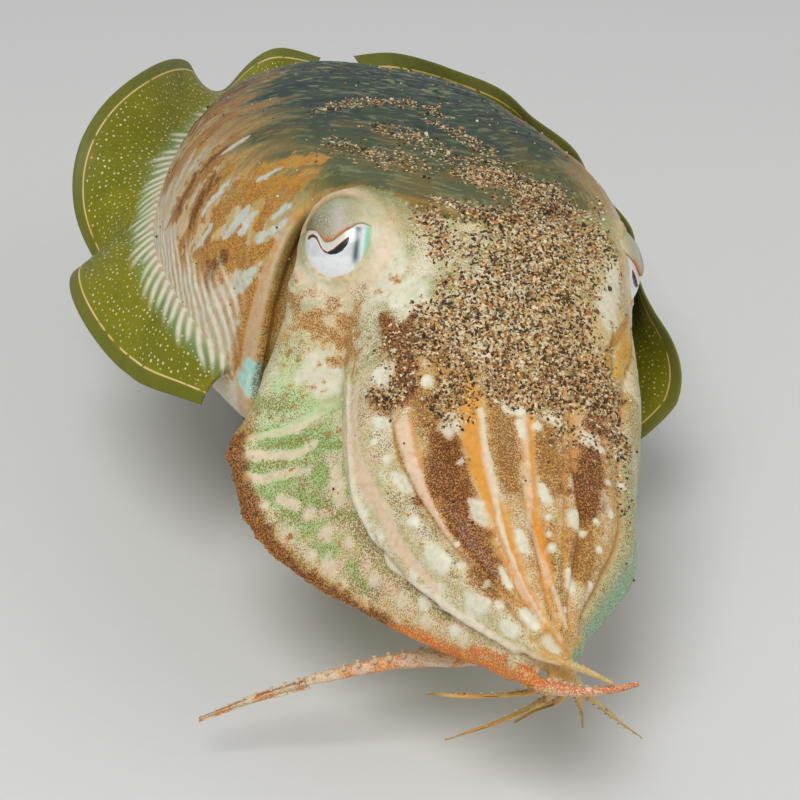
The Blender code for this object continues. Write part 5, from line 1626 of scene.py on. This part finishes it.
def buildFlap(side):
    # soft upper lid that hangs over the top of the eye, thick at its wavy edge
    look, across, up = eyeFrame(-1)
    centre = eyeShape["at"][-1]
    rowCentre = toRow(centre)[0] * 1000
    reach = eyeShape["radius"] + flapLook["lift"]
    xs = np.linspace(flapEdge[0][0], flapEdge[-1][0], flapLook["columns"])
    edge = smoothCurve(flapEdge, xs)
    rows, tones = [], []
    for q in np.linspace(0, 1, flapLook["rows"]):
        ring = []
        for x, low in zip(xs, edge):
            start, way = rayThrough(x, low + (186 - low) * q)
            rel = start - rowCentre
            b = rel @ way
            deep = b * b - (rel @ rel - reach * reach)
            ring.append(start + way * (-b - np.sqrt(max(deep, 0))))
        ring = fromRow(np.array(ring) * .001) - centre
        u, v = ring @ across, ring @ up
        middle = -side * eyeShape["shift"][side]
        pull = np.minimum(1, 1.06 / np.hypot(*openingPlace(side, -side * u, v)))
        u, v = (u - middle) * pull + middle, v * pull
        rows.append(np.stack([u, v, np.sqrt(np.maximum(reach**2 - u * u - v * v, 0))], 1))
        tones.append(np.full(len(xs), q))
    grid, q = np.array(rows), np.array(tones)
    swell = flapLook["thick"] * (.35 + .65 * np.sqrt(np.clip(q * 9, 0, 1)))
    far = np.linalg.norm(grid, axis=2, keepdims=True)
    top = grid / far * (far + swell[:, :, None])
    r, c = q.shape
    local, faces = closedSheet(top, grid)
    x = np.tile(np.broadcast_to(xs, (r, c)).ravel(), 2)
    q = np.tile(q.ravel(), 2)
    tint = np.tile((.40, .38, .24), (len(local), 1))
    grey = cloud(local, 2.0, 7)
    for colour, mask in (
            ((.58, .54, .44), bell(339, 10, x) * .9),
            ((.15, .15, .03), bell(311, 6, x) * bell(.14, .3, q) * .9),
            (hue("sage"), fade(.35, .8, q) * .8),
            (hue("cream"), fade(342, 366, x) * .7),
            (hue("blush"), fade(.30, .6, q) * fade(322, 312, x) * .8),
            ((.66, .24, .05), bell(0, .07, q) * fade(315, 319, x) * fade(358, 350, x) * (.9 + grey))):
        lay(tint, colour, mask)
    tint += (grey * .06)[:, None]
    amount = np.clip(.62 - .2 * bell(341, 11, x) + .2 * grey, 0, 1) * (1 - .5 * fade(342, 366, x))
    look, across, up = eyeFrame(side)
    shown = eyeShape["at"][side] + (local * (-side, 1, 1)) @ np.stack([across, up, look])
    mesh = meshOf("flap", toRow(shown), faces)
    writeColour(mesh, "tint", tint)
    writeValue(mesh, "inkAmount", amount)
    ob = objectOf("eyeFlap" + sideNames[side], mesh, flapStuff)
    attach(ob, "root")


for side in (1, -1):
    buildEye(side)
    buildFlap(side)
print("eyes and lids set")


# Grains of sand that lie on the skin
sandLook = {
    "count": 7000, "size": (.16, .34), "seed": 5,
    # share and size of the few big grains, mm of scatter, and how far a grain's middle stands out of the skin
    "bigShare": .04, "bigger": .8, "scatter": .3, "standsOut": .35,
    "tones": ((.07, .035, .015), (.22, .11, .04), (.50, .33, .14), (.74, .58, .34), (.86, .78, .58),
              (.62, .27, .07)),
    "shares": (.26, .16, .22, .20, .10, .06),
}


def grainFinish():
    n = Nodes("sandGrains")
    uneven = n.math("ADD", n.math("MULTIPLY", n.noise(n.place(), 2500.0), .5), .7)
    n.shade(n.mix(1.0, n.colour("tint"), n.grey(uneven), "MULTIPLY"), .6)
    return n.material


def buildSand():
    random = np.random.default_rng(sandLook["seed"])
    count = sandLook["count"] // 1
    weight = sandiness ** 1.3
    chosen = random.choice(len(points), count, p=weight / weight.sum())
    normals = readPoints(skin.data, "normal")[:len(points)]
    row = readPoints(skin.data, "co")[:len(points)] * 1000
    bm = bmesh.new()
    bmesh.ops.create_icosphere(bm, subdivisions=1, radius=1.0)
    shape = np.array([v.co for v in bm.verts])
    sides = np.array([[v.index for v in f.verts] for f in bm.faces])
    bm.free()
    size = random.uniform(*sandLook["size"], count)
    size *= 1 + sandLook["bigger"] * (random.random(count) > 1 - sandLook["bigShare"])
    spin = np.linalg.qr(random.normal(size=(count, 3, 3)))[0]
    lumps = shape[None] * random.uniform(.72, 1.2, (count, len(shape), 1))
    lumps = lumps * random.uniform(.6, 1.15, (count, 1, 3))
    verts = np.einsum("nij,nkj->nki", spin, lumps) * size[:, None, None]
    scatter = random.normal(size=(count, 3)) * sandLook["scatter"]
    scatter -= normals[chosen] * (scatter * normals[chosen]).sum(1)[:, None]
    verts += (row[chosen] + scatter + normals[chosen] * size[:, None] * sandLook["standsOut"])[:, None]
    faces = (sides[None] + (np.arange(count) * len(shape))[:, None, None]).reshape(-1, 3)
    mesh = bpy.data.meshes.new("sand")
    mesh.from_pydata((verts.reshape(-1, 3) * .001).tolist(), [], faces.tolist())
    tones = np.array(sandLook["tones"])
    pick = random.choice(len(tones), count, p=sandLook["shares"])
    tones = tones[pick] * random.uniform(.8, 1.15, (count, 1))
    writeColour(mesh, "tint", np.repeat(tones, len(shape), axis=0))
    ob = objectOf("sandGrains", mesh, grainFinish())
    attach(ob, "root")


buildSand()
print("sand scattered")


# Stand
standLook = {"plate": ((.016, .017, .019), (.034, .035, .038)), "plateRoughness": .42,
             "rod": ((.46, .46, .47), (.66, .66, .67)), "rodRoughness": (.23, .15)}


def plateFinish():
    n = Nodes("standPaint")
    place = n.place()
    n.shade(n.mix(n.noise(place, 1400.0), *standLook["plate"]), standLook["plateRoughness"])
    n.bump(n.noise(place, 2600.0), .00004)
    return n.material


def rodFinish():
    n = Nodes("rodSteel")
    stretch = n.add("ShaderNodeMapping")
    stretch.inputs["Scale"].default_value = (900, 900, 9000)
    n.link(n.place(), stretch.inputs["Vector"])
    lines = n.noise(stretch.outputs[0], 1.0)
    least, more = standLook["rodRoughness"]
    n.shade(n.mix(lines, *standLook["rod"]), n.math("ADD", n.math("MULTIPLY", lines, more), least))
    n.shader.inputs["Metallic"].default_value = 1.0
    return n.material


plateStuff, rodStuff = plateFinish(), rodFinish()
for name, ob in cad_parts.items():
    if name.startswith("stand_"):
        ob.data.materials.clear()
        ob.data.materials.append(plateStuff if name == "stand_base" else rodStuff)
print("stand finished")


# Floor and soft light
studio = {
    "floor": (.78, .78, .76), "floorSize": 3.0, "floorRoughness": .85,
    "sky": (.96, .98, 1.0, 1), "skyStrength": .36,
    # place and size in metres, power in watts
    "lights": {"keyLight": ((-.28, -.55, .95), .55, 6.2), "fillLight": ((.75, -.35, .55), .8, 1.3),
               "backLight": ((.1, .9, .8), .7, .6)},
    "aim": (0, 0, .05),
}


def areaLight(name, at, size, power):
    data = bpy.data.lights.new(name, "AREA")
    data.shape = "DISK"
    data.size = size
    data.energy = power
    ob = bpy.data.objects.new(name, data)
    ob.location = at
    ob.rotation_euler = (Vector(studio["aim"]) - Vector(at)).to_track_quat("-Z", "Y").to_euler()
    bpy.context.scene.collection.objects.link(ob)


def buildStudio():
    bm = bmesh.new()
    bmesh.ops.create_grid(bm, x_segments=8, y_segments=8, size=studio["floorSize"])
    mesh = bpy.data.meshes.new("floor")
    bm.to_mesh(mesh)
    bm.free()
    n = Nodes("floorPaper")
    darker = tuple(c * .97 for c in studio["floor"])
    n.shade(n.mix(n.noise(n.place(), 300.0), studio["floor"], darker), studio["floorRoughness"])
    floor = objectOf("floor", mesh, n.material)
    for name, (at, size, power) in studio["lights"].items():
        areaLight(name, at, size, power)
    world = bpy.data.worlds.new("studioSky")
    bpy.context.scene.world = world
    world.use_nodes = True
    sky = world.node_tree.nodes["Background"]
    sky.inputs["Color"].default_value = studio["sky"]
    sky.inputs["Strength"].default_value = studio["skyStrength"]
    bpy.context.scene.view_settings.view_transform = "Standard"


buildStudio()

print("done")
